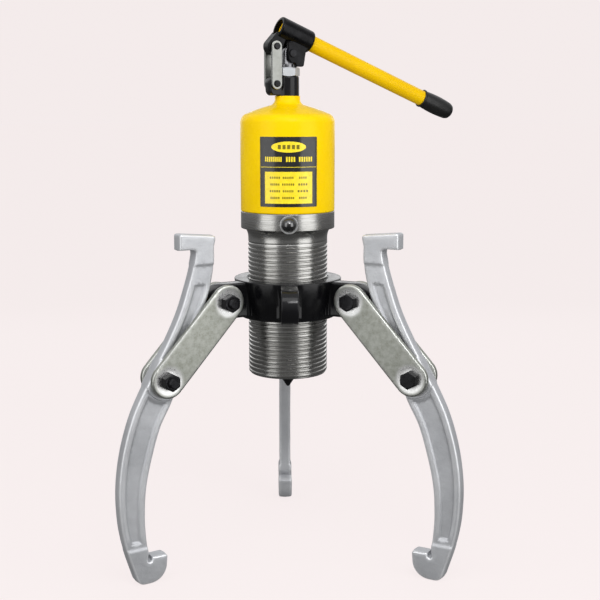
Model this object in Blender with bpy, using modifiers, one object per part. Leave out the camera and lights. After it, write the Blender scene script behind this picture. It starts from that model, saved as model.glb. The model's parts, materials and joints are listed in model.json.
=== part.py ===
"""Three-jaw hydraulic gear puller, as separate pieces in one frame.

World frame: +Z up along the cylinder's axis, origin on the flat of the ram's centre point. The arms
stand at azimuths 90, 210 and 330 degrees (back, left, right); the collar's spare lug points to -Y.
All dimensions below are in millimetres; MM turns them into Blender's metres.
"""

import math

import bmesh
import bpy
from mathutils import Matrix, Vector

MM = 0.001
GAP = 0.3  # clearance between pieces that touch

# --- cylinder -----------------------------------------------------------------------------------------
THREAD_R = 62.5  # M125 outside thread, drawn at its major diameter
BORE_R = 47.5
BARREL_LOW = 25.0
THREAD_TOP = 238.0
FLANGE_R = 73.6
FLANGE_LOW = 257.0
FLANGE_TOP = 283.7
SPIGOT_R = 66.0
SPIGOT_TOP = 294.0
BORE_TOP = 236.0
# --- ram ----------------------------------------------------------------------------------------------
RAM_R = 35.0
RAM_LOW = 30.0
PISTON_LOW = 196.0
PISTON_TOP = 228.0
GROOVE_R = 42.5  # the piston's seal groove
GROOVE_LOW = 207.0
GROOVE_TOP = 217.0
TIP_BASE_R = 19.5
TIP_FLAT_R = 2.0
TIP_SHANK_R = 10.0
TIP_SHANK_TOP = 54.0
TIP_SOCKET_TOP = 58.0
GLAND_TOP = 48.0
SPRING_WIRE_R = 2.6
SPRING_TURNS = 6
# --- reservoir ----------------------------------------------------------------------------------------
SHELL_LOW = 284.0
SHELL_SHOULDER = 420.5
SHOULDER_R = 14.5
SHOULDER_ARC = 62.0
DOME_TOP = (28.0, 446.4)  # radius and height where the dished top meets the neck's fillet
DOME_CROWN = (46.0, 441.8)
NECK_FILLET = 9.5
SHELL_WALL = 3.0
NECK_R = 19.7
NECK_TOP = 461.0
LABEL_LOW = 295.0
LABEL_TOP = 400.0
LABEL_HALF_ANGLE = math.radians(35.3)
# --- release valve, in the front of the flange --------------------------------------------------------
VALVE_Z = 268.0
VALVE_RING_R = 14.0
VALVE_KNOB_R = 10.8
VALVE_STEM_R = 6.0
VALVE_FACE = FLANGE_R + 4.5  # distance of the ring's face from the axis
VALVE_SEAT = FLANGE_R - 6.0
VALVE_STEM_END = 40.0
# --- oil plug, in the back of the flange --------------------------------------------------------------
PLUG_R = 7.0
PLUG_HEAD_R = 9.5
PLUG_END = 55.0
PLUG_FACE = 77.5
# --- collar and arms ----------------------------------------------------------------------------------
COLLAR_BORE_R = 63.3
COLLAR_TOP_R = 85.0
COLLAR_LOW_R = 77.0
COLLAR_LOW = 117.5
COLLAR_TOP = 178.3
LUG_THICK = 26.0
ARMS = {"back": 90.0, "left": 210.0, "right": 330.0}
SPARE_LUG = 270.0
UPPER_PIVOT = (119.0, 150.0)  # radius and height of the bolt through the collar's lug
STRAP_LENGTH = 150.0
STRAP_SLOPE = math.radians(47.0)
LOWER_PIVOT = (
    UPPER_PIVOT[0] + STRAP_LENGTH * math.cos(STRAP_SLOPE),
    UPPER_PIVOT[1] - STRAP_LENGTH * math.sin(STRAP_SLOPE),
)
STRAP_HALF_WIDTH = 27.0
STRAP_THICK = 10.0
STRAP_MID = LUG_THICK / 2 + 0.4 + STRAP_THICK / 2  # offset of a strap's middle from the arm's plane
STRAP_OUT = STRAP_MID + STRAP_THICK / 2
BOLT_R = 8.0  # M16
HOLE_R = 8.4
HEX_FLATS = 24.0
HEAD_HEIGHT = 10.0
NUT_HEIGHT = 13.0
BOLT_PAST_NUT = 6.0
# --- jaw, in its own plane: radius, height ------------------------------------------------------------
JAW_THICK = 20.0
HOOK_THICK = 24.0
JAW_FLOOR = -276.0
HOOK_FACE = -234.0
TOP_HOOK_FACE = 233.0
JAW_SPINE = (  # radius, height and full width of the arm from the upper hook down to the lower one
    (151.0, 228.0, 30.0),
    (155.0, 200.0, 34.0),
    (165.0, 165.0, 36.0),
    (180.0, 128.0, 34.0),
    (201.0, 85.0, 36.0),
    (217.5, 52.0, 42.0),
    (232.0, 18.0, 50.0),
    (253.0, -23.0, 49.0),
    (268.5, -72.0, 48.0),
    (277.5, -120.0, 44.0),
    (279.0, -165.0, 40.0),
    (276.0, -200.0, 36.0),
    (270.5, -230.0, 31.5),
)
BOSS_R = 30.0
POCKET_DEPTH = 2.6
POCKET_RIM = 8.5
POCKET_CUT = 10.0  # thickness of the cutter
POCKETS = {"high": (5, 11), "low": (20, 35)}  # first and last station along the arm
# --- pump: its plane is turned from +X; r runs along the handle's side --------------------------------
PUMP_TURN = math.radians(25.0)
PUMP_BODY_R = 18.3
PUMP_FOOT_R = 14.3
PUMP_BORE_R = 11.0
OIL_WAY_R = 6.0
OIL_WAY_TOP = 400.0
PUMP_BODY_LOW = 276.0
PUMP_BODY_TOP = 490.0
LINK_R = -24.5
LINK_LOW = 479.0
LINK_HIGH = 535.0
LINK_HALF_WIDTH = 8.6
LINK_THICK = 4.5
EAR_THICK = 20.0
LINK_MID = EAR_THICK / 2 + 0.4 + LINK_THICK / 2
LINK_PIN_R = 4.0
PIN_GAP = 0.4
GLAND_NUT_HEIGHT = 13.6
GLAND_NUT_R = 19.4
GLAND_NUT_TURN = math.radians(7.0)
PLUNGER_R = 10.0
PLUNGER_LOW = 420.0
PLUNGER_TOP = 509.6
PLUNGER_EYE_R = 10.8
PLUNGER_EYE_THICK = 13.0
PLUNGER_PIN = (3.0, 525.0)
PLUNGER_PIN_R = 4.0
CHEEK_MID = 9.9  # offset of a cheek's middle from the pump's plane
CHEEK_THICK = 5.4
HANDLE_FALL = math.radians(22.0)
HANDLE_ON_AXIS = 558.0  # height at which the handle's axis crosses the cylinder's
SOCKET_R = 17.5
SOCKET_BACK = -16.5
SOCKET_FRONT = 42.0
TUBE_R = 12.4
TUBE_BACK = -9.0
GRIP_START = 264.0
GRIP_END = 327.0
GRIP_R = 14.4

for old in list(bpy.data.objects):
    bpy.data.objects.remove(old, do_unlink=True)

puller = bpy.data.collections.new("gear_puller")
cutters = bpy.data.collections.new("cutters")
bpy.context.scene.collection.children.link(puller)
bpy.context.scene.collection.children.link(cutters)


def material(name, colour, roughness, metallic):
    made = bpy.data.materials.new(name)
    made.use_nodes = True
    shader = made.node_tree.nodes["Principled BSDF"]
    shader.inputs["Base Color"].default_value = (*colour, 1.0)
    shader.inputs["Roughness"].default_value = roughness
    shader.inputs["Metallic"].default_value = metallic
    return made


YELLOW = material("yellow_paint", (0.83, 0.60, 0.01), 0.25, 0.0)
STEEL = material("machined_steel", (0.48, 0.48, 0.47), 0.28, 1.0)
BLACK = material("black_paint", (0.012, 0.012, 0.013), 0.28, 0.0)
OXIDE = material("black_oxide", (0.02, 0.02, 0.022), 0.35, 0.6)
ZINC = material("zinc_plate", (0.50, 0.51, 0.48), 0.38, 1.0)
FORGED = material("forged_steel", (0.42, 0.43, 0.45), 0.42, 1.0)
RUBBER = material("black_rubber", (0.02, 0.02, 0.02), 0.6, 0.0)
LABEL = material("label_film", (0.02, 0.02, 0.02), 0.4, 0.0)
SEAL = material("seal_rubber", (0.05, 0.05, 0.05), 0.6, 0.0)
SPRING = material("spring_steel", (0.35, 0.35, 0.36), 0.35, 1.0)


def place(mesh, name, look, home=puller, matrix=None):
    """A new object from a mesh, with its material and smooth shading."""
    thing = bpy.data.objects.new(name, mesh)
    home.objects.link(thing)
    if look:
        mesh.materials.append(look)
    mesh.shade_smooth()
    mesh.set_sharp_from_angle(angle=math.radians(35))
    if matrix is not None:
        thing.matrix_world = matrix
    if home is cutters:
        thing.hide_render = True
        thing.display_type = "WIRE"
    return thing


def upright(x=0.0, y=0.0, z=0.0):
    return Matrix.Translation(Vector((x, y, z)) * MM)


def arm_frame(azimuth):
    """Local X runs outwards, local Y up and local Z sideways, clockwise seen from above."""
    turn = math.radians(azimuth)
    outward = Vector((math.cos(turn), math.sin(turn), 0.0))
    up = Vector((0.0, 0.0, 1.0))
    side = outward.cross(up)
    return Matrix((outward, up, side)).transposed().to_4x4()


PUMP_FRAME = arm_frame(math.degrees(PUMP_TURN))


def turned(name, profile, look, matrix=None, home=puller, steps=36, ring=False):
    """A turned piece about local Z from (radius, height) points that run down its outer side."""
    mesh = bpy.data.meshes.new(name)
    points = [(r * MM, 0.0, z * MM) for r, z in profile]
    edges = [(i, i + 1) for i in range(len(points) - 1)]
    if ring:
        edges.append((len(points) - 1, 0))
    mesh.from_pydata(points, edges, [])
    thing = place(mesh, name, look, home, matrix)
    screw = thing.modifiers.new("turn", "SCREW")
    screw.axis = "Z"
    screw.steps = steps
    screw.render_steps = steps
    screw.use_merge_vertices = True
    screw.merge_threshold = 0.00001
    screw.use_smooth_shade = True
    return thing


def rod(name, radius, low, high, look, matrix=None, home=puller, steps=24, chamfer=0.0):
    """A plain round bar about local Z, with a chamfer at both ends."""
    if chamfer:
        profile = [(0, high), (radius - chamfer, high), (radius, high - chamfer)]
        profile += [(radius, low + chamfer), (radius - chamfer, low), (0, low)]
    else:
        profile = [(0, high), (radius, high), (radius, low), (0, low)]
    return turned(name, profile, look, matrix, home, steps)


def tube(name, outer, inner, low, high, look, matrix=None, home=puller, steps=32, chamfer=0.0):
    """A ring of rectangular section about local Z, its outer edges chamfered."""
    profile = [(inner, high), (outer, high), (outer, low), (inner, low)]
    if chamfer:
        profile[1:3] = [(outer - chamfer, high), (outer, high - chamfer)]
        profile[3:3] = [(outer, low + chamfer), (outer - chamfer, low)]
    return turned(name, profile, look, matrix, home, steps, ring=True)


def plate(name, outline, thickness, look, matrix=None, home=puller, holes=()):
    """A flat piece from (x, y) outlines, centred on local z = 0; holes are further outlines."""
    curve = bpy.data.curves.new(name, "CURVE")
    curve.dimensions = "2D"
    curve.fill_mode = "BOTH"
    curve.extrude = thickness / 2 * MM
    for loop in (outline, *holes):
        spline = curve.splines.new("POLY")
        spline.points.add(len(loop) - 1)
        for point, (x, y) in zip(spline.points, loop):
            point.co = (x * MM, y * MM, 0.0, 1.0)
        spline.use_cyclic_u = True
    guide = bpy.data.objects.new(name + "_outline", curve)
    cutters.objects.link(guide)
    bpy.context.view_layer.update()
    graph = bpy.context.evaluated_depsgraph_get()
    mesh = bpy.data.meshes.new_from_object(guide.evaluated_get(graph))
    bpy.data.objects.remove(guide, do_unlink=True)
    shape = bmesh.new()
    shape.from_mesh(mesh)
    bmesh.ops.remove_doubles(shape, verts=shape.verts, dist=1e-6)
    bmesh.ops.recalc_face_normals(shape, faces=shape.faces)
    shape.to_mesh(mesh)
    shape.free()
    mesh.materials.clear()
    mesh.name = name
    return place(mesh, name, look, home, matrix)


def boolean(thing, other, operation, solver="MANIFOLD"):
    step = thing.modifiers.new(operation.lower(), "BOOLEAN")
    step.operation = operation
    step.solver = solver
    step.object = other
    return thing


def arc(cx, cy, radius, start, end, count):
    """Points along an arc in degrees, both ends included."""
    found = []
    for i in range(count + 1):
        a = math.radians(start + (end - start) * i / count)
        found.append((cx + radius * math.cos(a), cy + radius * math.sin(a)))
    return found


def circle(cx, cy, radius, count=24):
    return arc(cx, cy, radius, 0.0, 360.0, count)[:-1]


def stadium(a, b, radius, count=12):
    """A straight bar with round ends about the points a and b."""
    heading = math.degrees(math.atan2(b[1] - a[1], b[0] - a[0]))
    far = arc(b[0], b[1], radius, heading - 90.0, heading + 90.0, count)
    near = arc(a[0], a[1], radius, heading + 90.0, heading + 270.0, count)
    return far + near


def smooth_line(points, per_span):
    """Catmull-Rom points through the given ones, in any number of dimensions."""
    ends = [points[0], *points, points[-1]]
    found = []
    for i in range(1, len(ends) - 2):
        p0, p1, p2, p3 = ends[i - 1 : i + 3]
        for j in range(per_span):
            t = j / per_span
            point = []
            for a, b, c, d in zip(p0, p1, p2, p3):
                square = 2 * a - 5 * b + 4 * c - d
                cube = 3 * b - a - 3 * c + d
                point.append(0.5 * (2 * b + (c - a) * t + square * t**2 + cube * t**3))
            found.append(tuple(point))
    found.append(points[-1])
    return found


# --- cylinder unit ------------------------------------------------------------------------------------
def cylinder_unit():
    """The threaded barrel with its flange, the valve and plug in it, and the ram inside it."""
    profile = [(0.0, SPIGOT_TOP), (SPIGOT_R - 1.5, SPIGOT_TOP), (SPIGOT_R, SPIGOT_TOP - 1.5)]
    profile += [(SPIGOT_R, FLANGE_TOP), (FLANGE_R - 1.0, FLANGE_TOP), (FLANGE_R, FLANGE_TOP - 1.0)]
    profile += [(FLANGE_R, FLANGE_LOW)]
    drop = FLANGE_LOW - THREAD_TOP - 4.0
    reach = FLANGE_R - THREAD_R
    profile += [
        (THREAD_R + reach * (1 - math.sin(a)), FLANGE_LOW - drop * (1 - math.cos(a)))
        for a in (math.radians(15.0 * i) for i in range(2, 7))
    ]
    profile += [(THREAD_R, BARREL_LOW + 4.0), (THREAD_R - 4.0, BARREL_LOW)]
    profile += [(BORE_R, BARREL_LOW), (BORE_R, BORE_TOP), (0.0, BORE_TOP)]
    barrel = turned("cylinder_barrel", profile, STEEL, steps=40)

    sideways = upright(z=VALVE_Z) @ Matrix.Rotation(math.radians(90.0), 4, "X")
    past = FLANGE_R + 26.0
    ring_seat = rod("valve_seat_cut", VALVE_RING_R + GAP, VALVE_SEAT, past, None, sideways, cutters)
    stem_low = VALVE_STEM_END - 6.0
    stem_bore = rod("valve_bore_cut", VALVE_STEM_R + GAP, stem_low, past, None, sideways, cutters)
    boolean(barrel, ring_seat, "DIFFERENCE")
    boolean(barrel, stem_bore, "DIFFERENCE")
    backwards = upright(z=VALVE_Z) @ Matrix.Rotation(math.radians(-90.0), 4, "X")
    plug_bore = rod("plug_bore_cut", PLUG_R + GAP, PLUG_END - 3.0, past, None, backwards, cutters)
    boolean(barrel, plug_bore, "DIFFERENCE")
    pump_top = SPIGOT_TOP + 16.0
    pump_bore = rod("pump_bore_cut", PUMP_FOOT_R + GAP, PUMP_BODY_LOW, pump_top, None, None, cutters)
    boolean(barrel, pump_bore, "DIFFERENCE")

    ring_bore = VALVE_STEM_R + 2 * GAP
    ring_foot = VALVE_SEAT + GAP
    tube("valve_ring", VALVE_RING_R, ring_bore, ring_foot, VALVE_FACE, STEEL, sideways, chamfer=1.2)
    under = VALVE_FACE + GAP
    knob = [(0.0, 86.0), (4.5, 85.4), (8.0, 83.6), (10.2, 81.0), (VALVE_KNOB_R, under)]
    knob += [(VALVE_STEM_R, under), (VALVE_STEM_R, VALVE_STEM_END + 4.0)]
    knob += [(VALVE_STEM_R - 3.0, VALVE_STEM_END), (0.0, VALVE_STEM_END)]
    turned("release_valve", knob, BLACK, sideways, steps=24)
    plug_seat = FLANGE_R + 2 * GAP
    plug = [(0.0, PLUG_FACE), (PLUG_HEAD_R - 1.0, PLUG_FACE), (PLUG_HEAD_R, PLUG_FACE - 1.0)]
    plug += [(PLUG_HEAD_R, plug_seat), (PLUG_R, plug_seat), (PLUG_R, PLUG_END), (0.0, PLUG_END)]
    oil_plug = turned("oil_plug", plug, OXIDE, backwards, steps=24)
    key_frame = backwards @ upright(z=PLUG_FACE - 0.5)
    key = plate("plug_key_cut", arc(0, 0, 4.6, 0, 300, 5), 6.0, None, key_frame, cutters)
    boolean(oil_plug, key, "DIFFERENCE")

    tube("gland_ring", BORE_R - GAP, RAM_R + GAP + 0.2, BARREL_LOW, GLAND_TOP, OXIDE, chamfer=1.0)
    piston_r = BORE_R - 1.0
    socket_r = TIP_SHANK_R + GAP
    ram = [(0.0, PISTON_TOP), (piston_r, PISTON_TOP), (piston_r, GROOVE_TOP), (GROOVE_R, GROOVE_TOP)]
    ram += [(GROOVE_R, GROOVE_LOW), (piston_r, GROOVE_LOW), (piston_r, PISTON_LOW), (RAM_R, PISTON_LOW)]
    ram += [(RAM_R, RAM_LOW + 2.0), (RAM_R - 2.0, RAM_LOW), (socket_r, RAM_LOW)]
    ram += [(socket_r, TIP_SOCKET_TOP), (0.0, TIP_SOCKET_TOP)]
    turned("ram", ram, STEEL, steps=28)
    tube("piston_seal", BORE_R - GAP, GROOVE_R + GAP, GROOVE_LOW + GAP, GROOVE_TOP - GAP, SEAL)
    shoulder = RAM_LOW - GAP
    tip = [(0.0, TIP_SHANK_TOP), (TIP_SHANK_R, TIP_SHANK_TOP), (TIP_SHANK_R, shoulder)]
    tip += [(TIP_BASE_R - 1.0, shoulder), (TIP_BASE_R, shoulder - 1.0), (TIP_BASE_R, RAM_LOW - 3.5)]
    tip += [(TIP_FLAT_R, 0.0), (0.0, 0.0)]
    turned("ram_tip", tip, OXIDE, steps=32)
    return_spring()


def return_spring():
    """The coil between the gland ring and the piston that draws the ram back."""
    low = GLAND_TOP + GAP + SPRING_WIRE_R
    high = PISTON_LOW - GAP - SPRING_WIRE_R
    mean = (BORE_R + RAM_R) / 2
    curve = bpy.data.curves.new("return_spring", "CURVE")
    curve.dimensions = "3D"
    curve.bevel_depth = SPRING_WIRE_R * MM
    curve.bevel_resolution = 1
    curve.use_fill_caps = True
    curve.resolution_u = 1
    count = SPRING_TURNS * 12 + 1
    spline = curve.splines.new("POLY")
    spline.points.add(count - 1)
    for i, point in enumerate(spline.points):
        turn = 2.0 * math.pi * i / 12
        height = low + (high - low) * i / (count - 1)
        point.co = (mean * math.cos(turn) * MM, mean * math.sin(turn) * MM, height * MM, 1.0)
    spring = bpy.data.objects.new("return_spring", curve)
    curve.materials.append(SPRING)
    puller.objects.link(spring)


# --- reservoir ----------------------------------------------------------------------------------------
def dome(inset, count):
    """Inner points of the can's dished top, a parabola from the neck's foot out to the shoulder."""
    angle = math.radians(SHOULDER_ARC)
    edge_r = FLANGE_R - SHOULDER_R * (1 - math.cos(angle))
    edge_z = SHELL_SHOULDER + SHOULDER_R * math.sin(angle)
    found = []
    for i in range(1, count):
        t = i / count
        near, middle, far = (1 - t) ** 2, 2 * t * (1 - t), t * t
        radius = near * DOME_TOP[0] + middle * DOME_CROWN[0] + far * edge_r
        height = near * DOME_TOP[1] + middle * DOME_CROWN[1] + far * edge_z
        found.append((radius, height - inset))
    return found


def reservoir():
    """The painted can on the flange, the seal in its foot and the label on its front."""
    outer = [(NECK_R - 1.0, NECK_TOP), (NECK_R, NECK_TOP - 1.0)]
    outer += arc(NECK_R + NECK_FILLET, NECK_TOP - 5.0, NECK_FILLET, 180.0, 260.0, 4)
    outer += dome(0.0, 5)
    outer += arc(FLANGE_R - SHOULDER_R, SHELL_SHOULDER, SHOULDER_R, SHOULDER_ARC, 0.0, 6)
    outer += [(FLANGE_R, SHELL_LOW)]
    inner = [(FLANGE_R - SHELL_WALL, SHELL_LOW)]
    inside_r = SHOULDER_R - SHELL_WALL
    inner += arc(FLANGE_R - SHOULDER_R, SHELL_SHOULDER, inside_r, 0.0, SHOULDER_ARC, 4)
    inner += dome(SHELL_WALL, 4)[::-1]
    inner += [(PUMP_BODY_R + GAP, DOME_TOP[1] - SHELL_WALL)]
    profile = outer + inner + [(PUMP_BODY_R + GAP, NECK_TOP)]
    turned("reservoir_shell", profile, YELLOW, steps=36, ring=True)
    seal_r = FLANGE_R - SHELL_WALL - 2 * GAP
    tube("reservoir_seal", seal_r, SPIGOT_R + 3 * GAP, FLANGE_TOP + GAP, SPIGOT_TOP - 5.0, SEAL)
    sweep = math.degrees(LABEL_HALF_ANGLE)
    low = arc(0, 0, FLANGE_R + GAP, 270.0 - sweep, 270.0 + sweep, 14)
    high = arc(0, 0, FLANGE_R + GAP + 0.5, 270.0 + sweep, 270.0 - sweep, 14)
    middle = (LABEL_LOW + LABEL_TOP) / 2
    plate("label_plate", low + high, LABEL_TOP - LABEL_LOW, LABEL, upright(z=middle))


# --- collar -------------------------------------------------------------------------------------------
def collar():
    """The black nut on the barrel's thread, with three lugs in use and a spare one in front."""
    profile = [(COLLAR_BORE_R + 2.5, COLLAR_TOP), (COLLAR_TOP_R - 1.6, COLLAR_TOP)]
    profile += [(COLLAR_TOP_R, COLLAR_TOP - 1.6)]
    profile += [(COLLAR_TOP_R - 0.6, COLLAR_TOP - 12.0), (COLLAR_LOW_R, COLLAR_LOW + 3.0)]
    profile += [(COLLAR_LOW_R - 2.5, COLLAR_LOW), (COLLAR_BORE_R + 2.5, COLLAR_LOW)]
    profile += [(COLLAR_BORE_R, COLLAR_LOW + 2.5), (COLLAR_BORE_R, COLLAR_TOP - 2.5)]
    body = turned("jaw_collar", profile, BLACK, steps=40, ring=True)
    root = (COLLAR_LOW_R - 4.0, UPPER_PIVOT[1])
    outline = arc(*UPPER_PIVOT, STRAP_HALF_WIDTH, -90.0, 90.0, 12)
    outline += [(root[0], root[1] + STRAP_HALF_WIDTH), (root[0], root[1] - STRAP_HALF_WIDTH)]
    for name, azimuth in (*ARMS.items(), ("spare", SPARE_LUG)):
        hole = circle(*UPPER_PIVOT, HOLE_R)
        lug = plate(f"lug_{name}", outline, LUG_THICK, BLACK, arm_frame(azimuth), cutters, [hole])
        boolean(body, lug, "UNION")


# --- arms ---------------------------------------------------------------------------------------------
def jaw_edges(inset):
    """The arm's outer and inner edges, each drawn in by inset, from the upper hook to the lower."""
    line = smooth_line(JAW_SPINE, 3)
    outer = []
    inner = []
    for i, (r, z, width) in enumerate(line):
        before = line[max(i - 1, 0)]
        after = line[min(i + 1, len(line) - 1)]
        along = Vector((after[0] - before[0], after[1] - before[1])).normalized()
        away = Vector((-along.y, along.x))
        half = width / 2 - inset
        outer.append((r + away.x * half, z + away.y * half))
        inner.append((r - away.x * half, z - away.y * half))
    return outer, inner


def jaw_outlines():
    """The whole jaw in its plane, and the thicker heads of its outward upper and inward lower hook."""
    outer, inner = jaw_edges(0.0)
    heel = arc(262.0, JAW_FLOOR + 14.0, 14.0, -15.0, -90.0, 4)
    toe = arc(252.0, JAW_FLOOR + 27.0, 27.0, -90.0, -175.0, 6)
    nose = arc(229.0, HOOK_FACE - 5.0, 5.0, 170.0, 90.0, 3)
    throat = arc(253.5, HOOK_FACE - 3.0, 4.0, 180.0, 350.0, 4)
    lower = heel + toe + nose + [(249.5, HOOK_FACE)] + throat
    top = [(136.5, 236.0), (134.0, 246.0), *arc(138.5, 248.0, 4.5, 180.0, 95.0, 3)]
    top += [*arc(189.0, 253.5, 4.5, 85.0, 0.0, 3), (193.5, TOP_HOOK_FACE), (172.0, TOP_HOOK_FACE)]
    top += arc(172.0, TOP_HOOK_FACE - 5.0, 5.0, 110.0, 175.0, 2)[1:]
    whole = outer[1:] + lower + inner[::-1][:-1] + top
    upper_head = top + outer[1:3] + inner[1:3][::-1]
    lower_head = outer[-2:] + lower + inner[-2:][::-1]
    return whole, upper_head, lower_head


def pocket_outline(start, end):
    """A forged pocket between two stations of the arm, drawn in from both edges."""
    outer, inner = jaw_edges(POCKET_RIM)
    return outer[start:end] + inner[start:end][::-1]


def jaw(name, frame):
    """One forged jaw with its pivot boss and a pocket above and below it on both faces."""
    hole = circle(*LOWER_PIVOT, HOLE_R)
    whole, *heads = jaw_outlines()
    body = plate(f"jaw_{name}", whole, JAW_THICK, FORGED, frame, holes=[hole])
    for end, outline in zip(("upper", "lower"), heads):
        head = plate(f"head_{name}_{end}", outline, HOOK_THICK, FORGED, frame, cutters)
        boolean(body, head, "UNION")
    round_boss = circle(*LOWER_PIVOT, BOSS_R)
    boss = plate(f"boss_{name}", round_boss, LUG_THICK, FORGED, frame, cutters, [hole])
    boolean(body, boss, "UNION")
    for span, (start, end) in POCKETS.items():
        for side in (-1, 1):
            middle = side * (JAW_THICK / 2 + POCKET_CUT / 2 - POCKET_DEPTH)
            outline = pocket_outline(start, end)
            label = f"pocket_{name}_{span}_{side + 1}"
            cut = plate(label, outline, POCKET_CUT, None, frame @ upright(z=middle), cutters)
            boolean(body, cut, "DIFFERENCE")


def bolt(name, pivot, frame):
    """A hexagon bolt through both straps, its head on the arm's clockwise side, and its nut."""
    sideways = frame @ upright(pivot[0], pivot[1], 0.0)
    head_low = STRAP_OUT + GAP
    head_high = head_low + HEAD_HEIGHT
    corner = HEX_FLATS / math.sqrt(3.0)
    end = -(STRAP_OUT + GAP + NUT_HEIGHT + BOLT_PAST_NUT)
    shank = rod(f"{name}_bolt", BOLT_R, end, head_low + 2.0, OXIDE, sideways, steps=20)
    hexagon = arc(0, 0, corner, 30.0, 330.0, 5)
    middle = (head_low + head_high) / 2
    head = plate(f"{name}_head", hexagon, HEAD_HEIGHT, OXIDE, sideways @ upright(z=middle), cutters)
    boolean(shank, head, "UNION")
    nut_middle = -(STRAP_OUT + GAP + NUT_HEIGHT / 2)
    bore = circle(0, 0, BOLT_R + 0.45, 20)
    plate(f"{name}_nut", hexagon, NUT_HEIGHT, OXIDE, sideways @ upright(z=nut_middle), holes=[bore])


def arm(name, azimuth):
    """One arm: two straps, the jaw between them and the two bolts with their nuts."""
    frame = arm_frame(azimuth)
    holes = [circle(*UPPER_PIVOT, HOLE_R), circle(*LOWER_PIVOT, HOLE_R)]
    outline = stadium(UPPER_PIVOT, LOWER_PIVOT, STRAP_HALF_WIDTH)
    for side, offset in (("a", STRAP_MID), ("b", -STRAP_MID)):
        plate(f"strap_{name}_{side}", outline, STRAP_THICK, ZINC, frame @ upright(z=offset), holes=holes)
    jaw(name, frame)
    bolt(f"upper_{name}", UPPER_PIVOT, frame)
    bolt(f"lower_{name}", LOWER_PIVOT, frame)


# --- pump ---------------------------------------------------------------------------------------------
def pump():
    """Pump body, gland nut, plunger, links, pins, lever head and handle, in the pump's own plane."""
    flat = PUMP_FRAME
    foot = PUMP_BODY_LOW + GAP
    seat = SPIGOT_TOP + GAP
    body = [(PUMP_BORE_R, PUMP_BODY_TOP), (PUMP_BODY_R - 2.0, PUMP_BODY_TOP)]
    body += [(PUMP_BODY_R, PUMP_BODY_TOP - 2.0), (PUMP_BODY_R, seat), (PUMP_FOOT_R, seat)]
    body += [(PUMP_FOOT_R, foot), (OIL_WAY_R, foot), (OIL_WAY_R, OIL_WAY_TOP)]
    body += [(PUMP_BORE_R, OIL_WAY_TOP + 4.0)]
    pump_body = turned("pump_body", body, BLACK, steps=32, ring=True)
    lug = [(-13.0, NECK_TOP + 0.5), (-25.0, NECK_TOP + 0.5), *arc(-24.5, 470.0, 9.0, 250.0, 180.0, 4)]
    lug += [*arc(LINK_R, 480.5, 10.0, 180.0, 90.0, 4), (-13.0, 490.5)]
    low_hole = circle(LINK_R, LINK_LOW, LINK_PIN_R + PIN_GAP, 16)
    ear = plate("pump_lug", lug, EAR_THICK, BLACK, flat, cutters, [low_hole])
    boolean(pump_body, ear, "UNION")
    nut_low = PUMP_BODY_TOP + GAP + 0.2
    nut = plate(
        "gland_nut",
        arc(0, 0, GLAND_NUT_R, 0, 300, 5),
        GLAND_NUT_HEIGHT,
        ZINC,
        upright(z=nut_low + GLAND_NUT_HEIGHT / 2),
        holes=[circle(0, 0, PLUNGER_R + 1.0)],
    )
    nut.rotation_euler.z = GLAND_NUT_TURN
    plunger = rod("plunger", PLUNGER_R, PLUNGER_LOW, PLUNGER_TOP, STEEL)
    eye_low = PLUNGER_TOP - 3.6
    blade = [(-8.0, eye_low), (8.0, eye_low), *arc(*PLUNGER_PIN, PLUNGER_EYE_R, -30.0, 190.0, 10)]
    eye_hole = circle(*PLUNGER_PIN, PLUNGER_PIN_R + PIN_GAP, 16)
    eye = plate("plunger_eye", blade, PLUNGER_EYE_THICK, STEEL, flat, cutters, [eye_hole])
    boolean(plunger, eye, "UNION")
    for side, offset in (("near", LINK_MID), ("far", -LINK_MID)):
        holes = [circle(LINK_R, z, LINK_PIN_R + PIN_GAP, 16) for z in (LINK_LOW, LINK_HIGH)]
        outline = stadium((LINK_R, LINK_LOW), (LINK_R, LINK_HIGH), LINK_HALF_WIDTH, 10)
        plate(f"pump_link_{side}", outline, LINK_THICK, ZINC, flat @ upright(z=offset), holes=holes)
    reach = LINK_MID + LINK_THICK / 2 + GAP
    for level, height in (("lower", LINK_LOW), ("upper", LINK_HIGH)):
        pin("link_pin_" + level, (LINK_R, height), LINK_PIN_R, reach, 5.2)
    cheek_out = CHEEK_MID + CHEEK_THICK / 2 + GAP
    pin("plunger_pin", PLUNGER_PIN, PLUNGER_PIN_R, cheek_out, 6.2)
    lever_head()


def pin(name, centre, radius, reach, head):
    """A pin across the pump's plane with a low dome at each end."""
    profile = [(0.0, reach + 2.6), (head * 0.7, reach + 2.0), (head, reach + 0.6)]
    profile += [(head, reach), (radius, reach)]
    profile += [(r, -z) for r, z in reversed(profile)]
    turned(name, profile, OXIDE, PUMP_FRAME @ upright(*centre, 0.0), steps=16)


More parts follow.
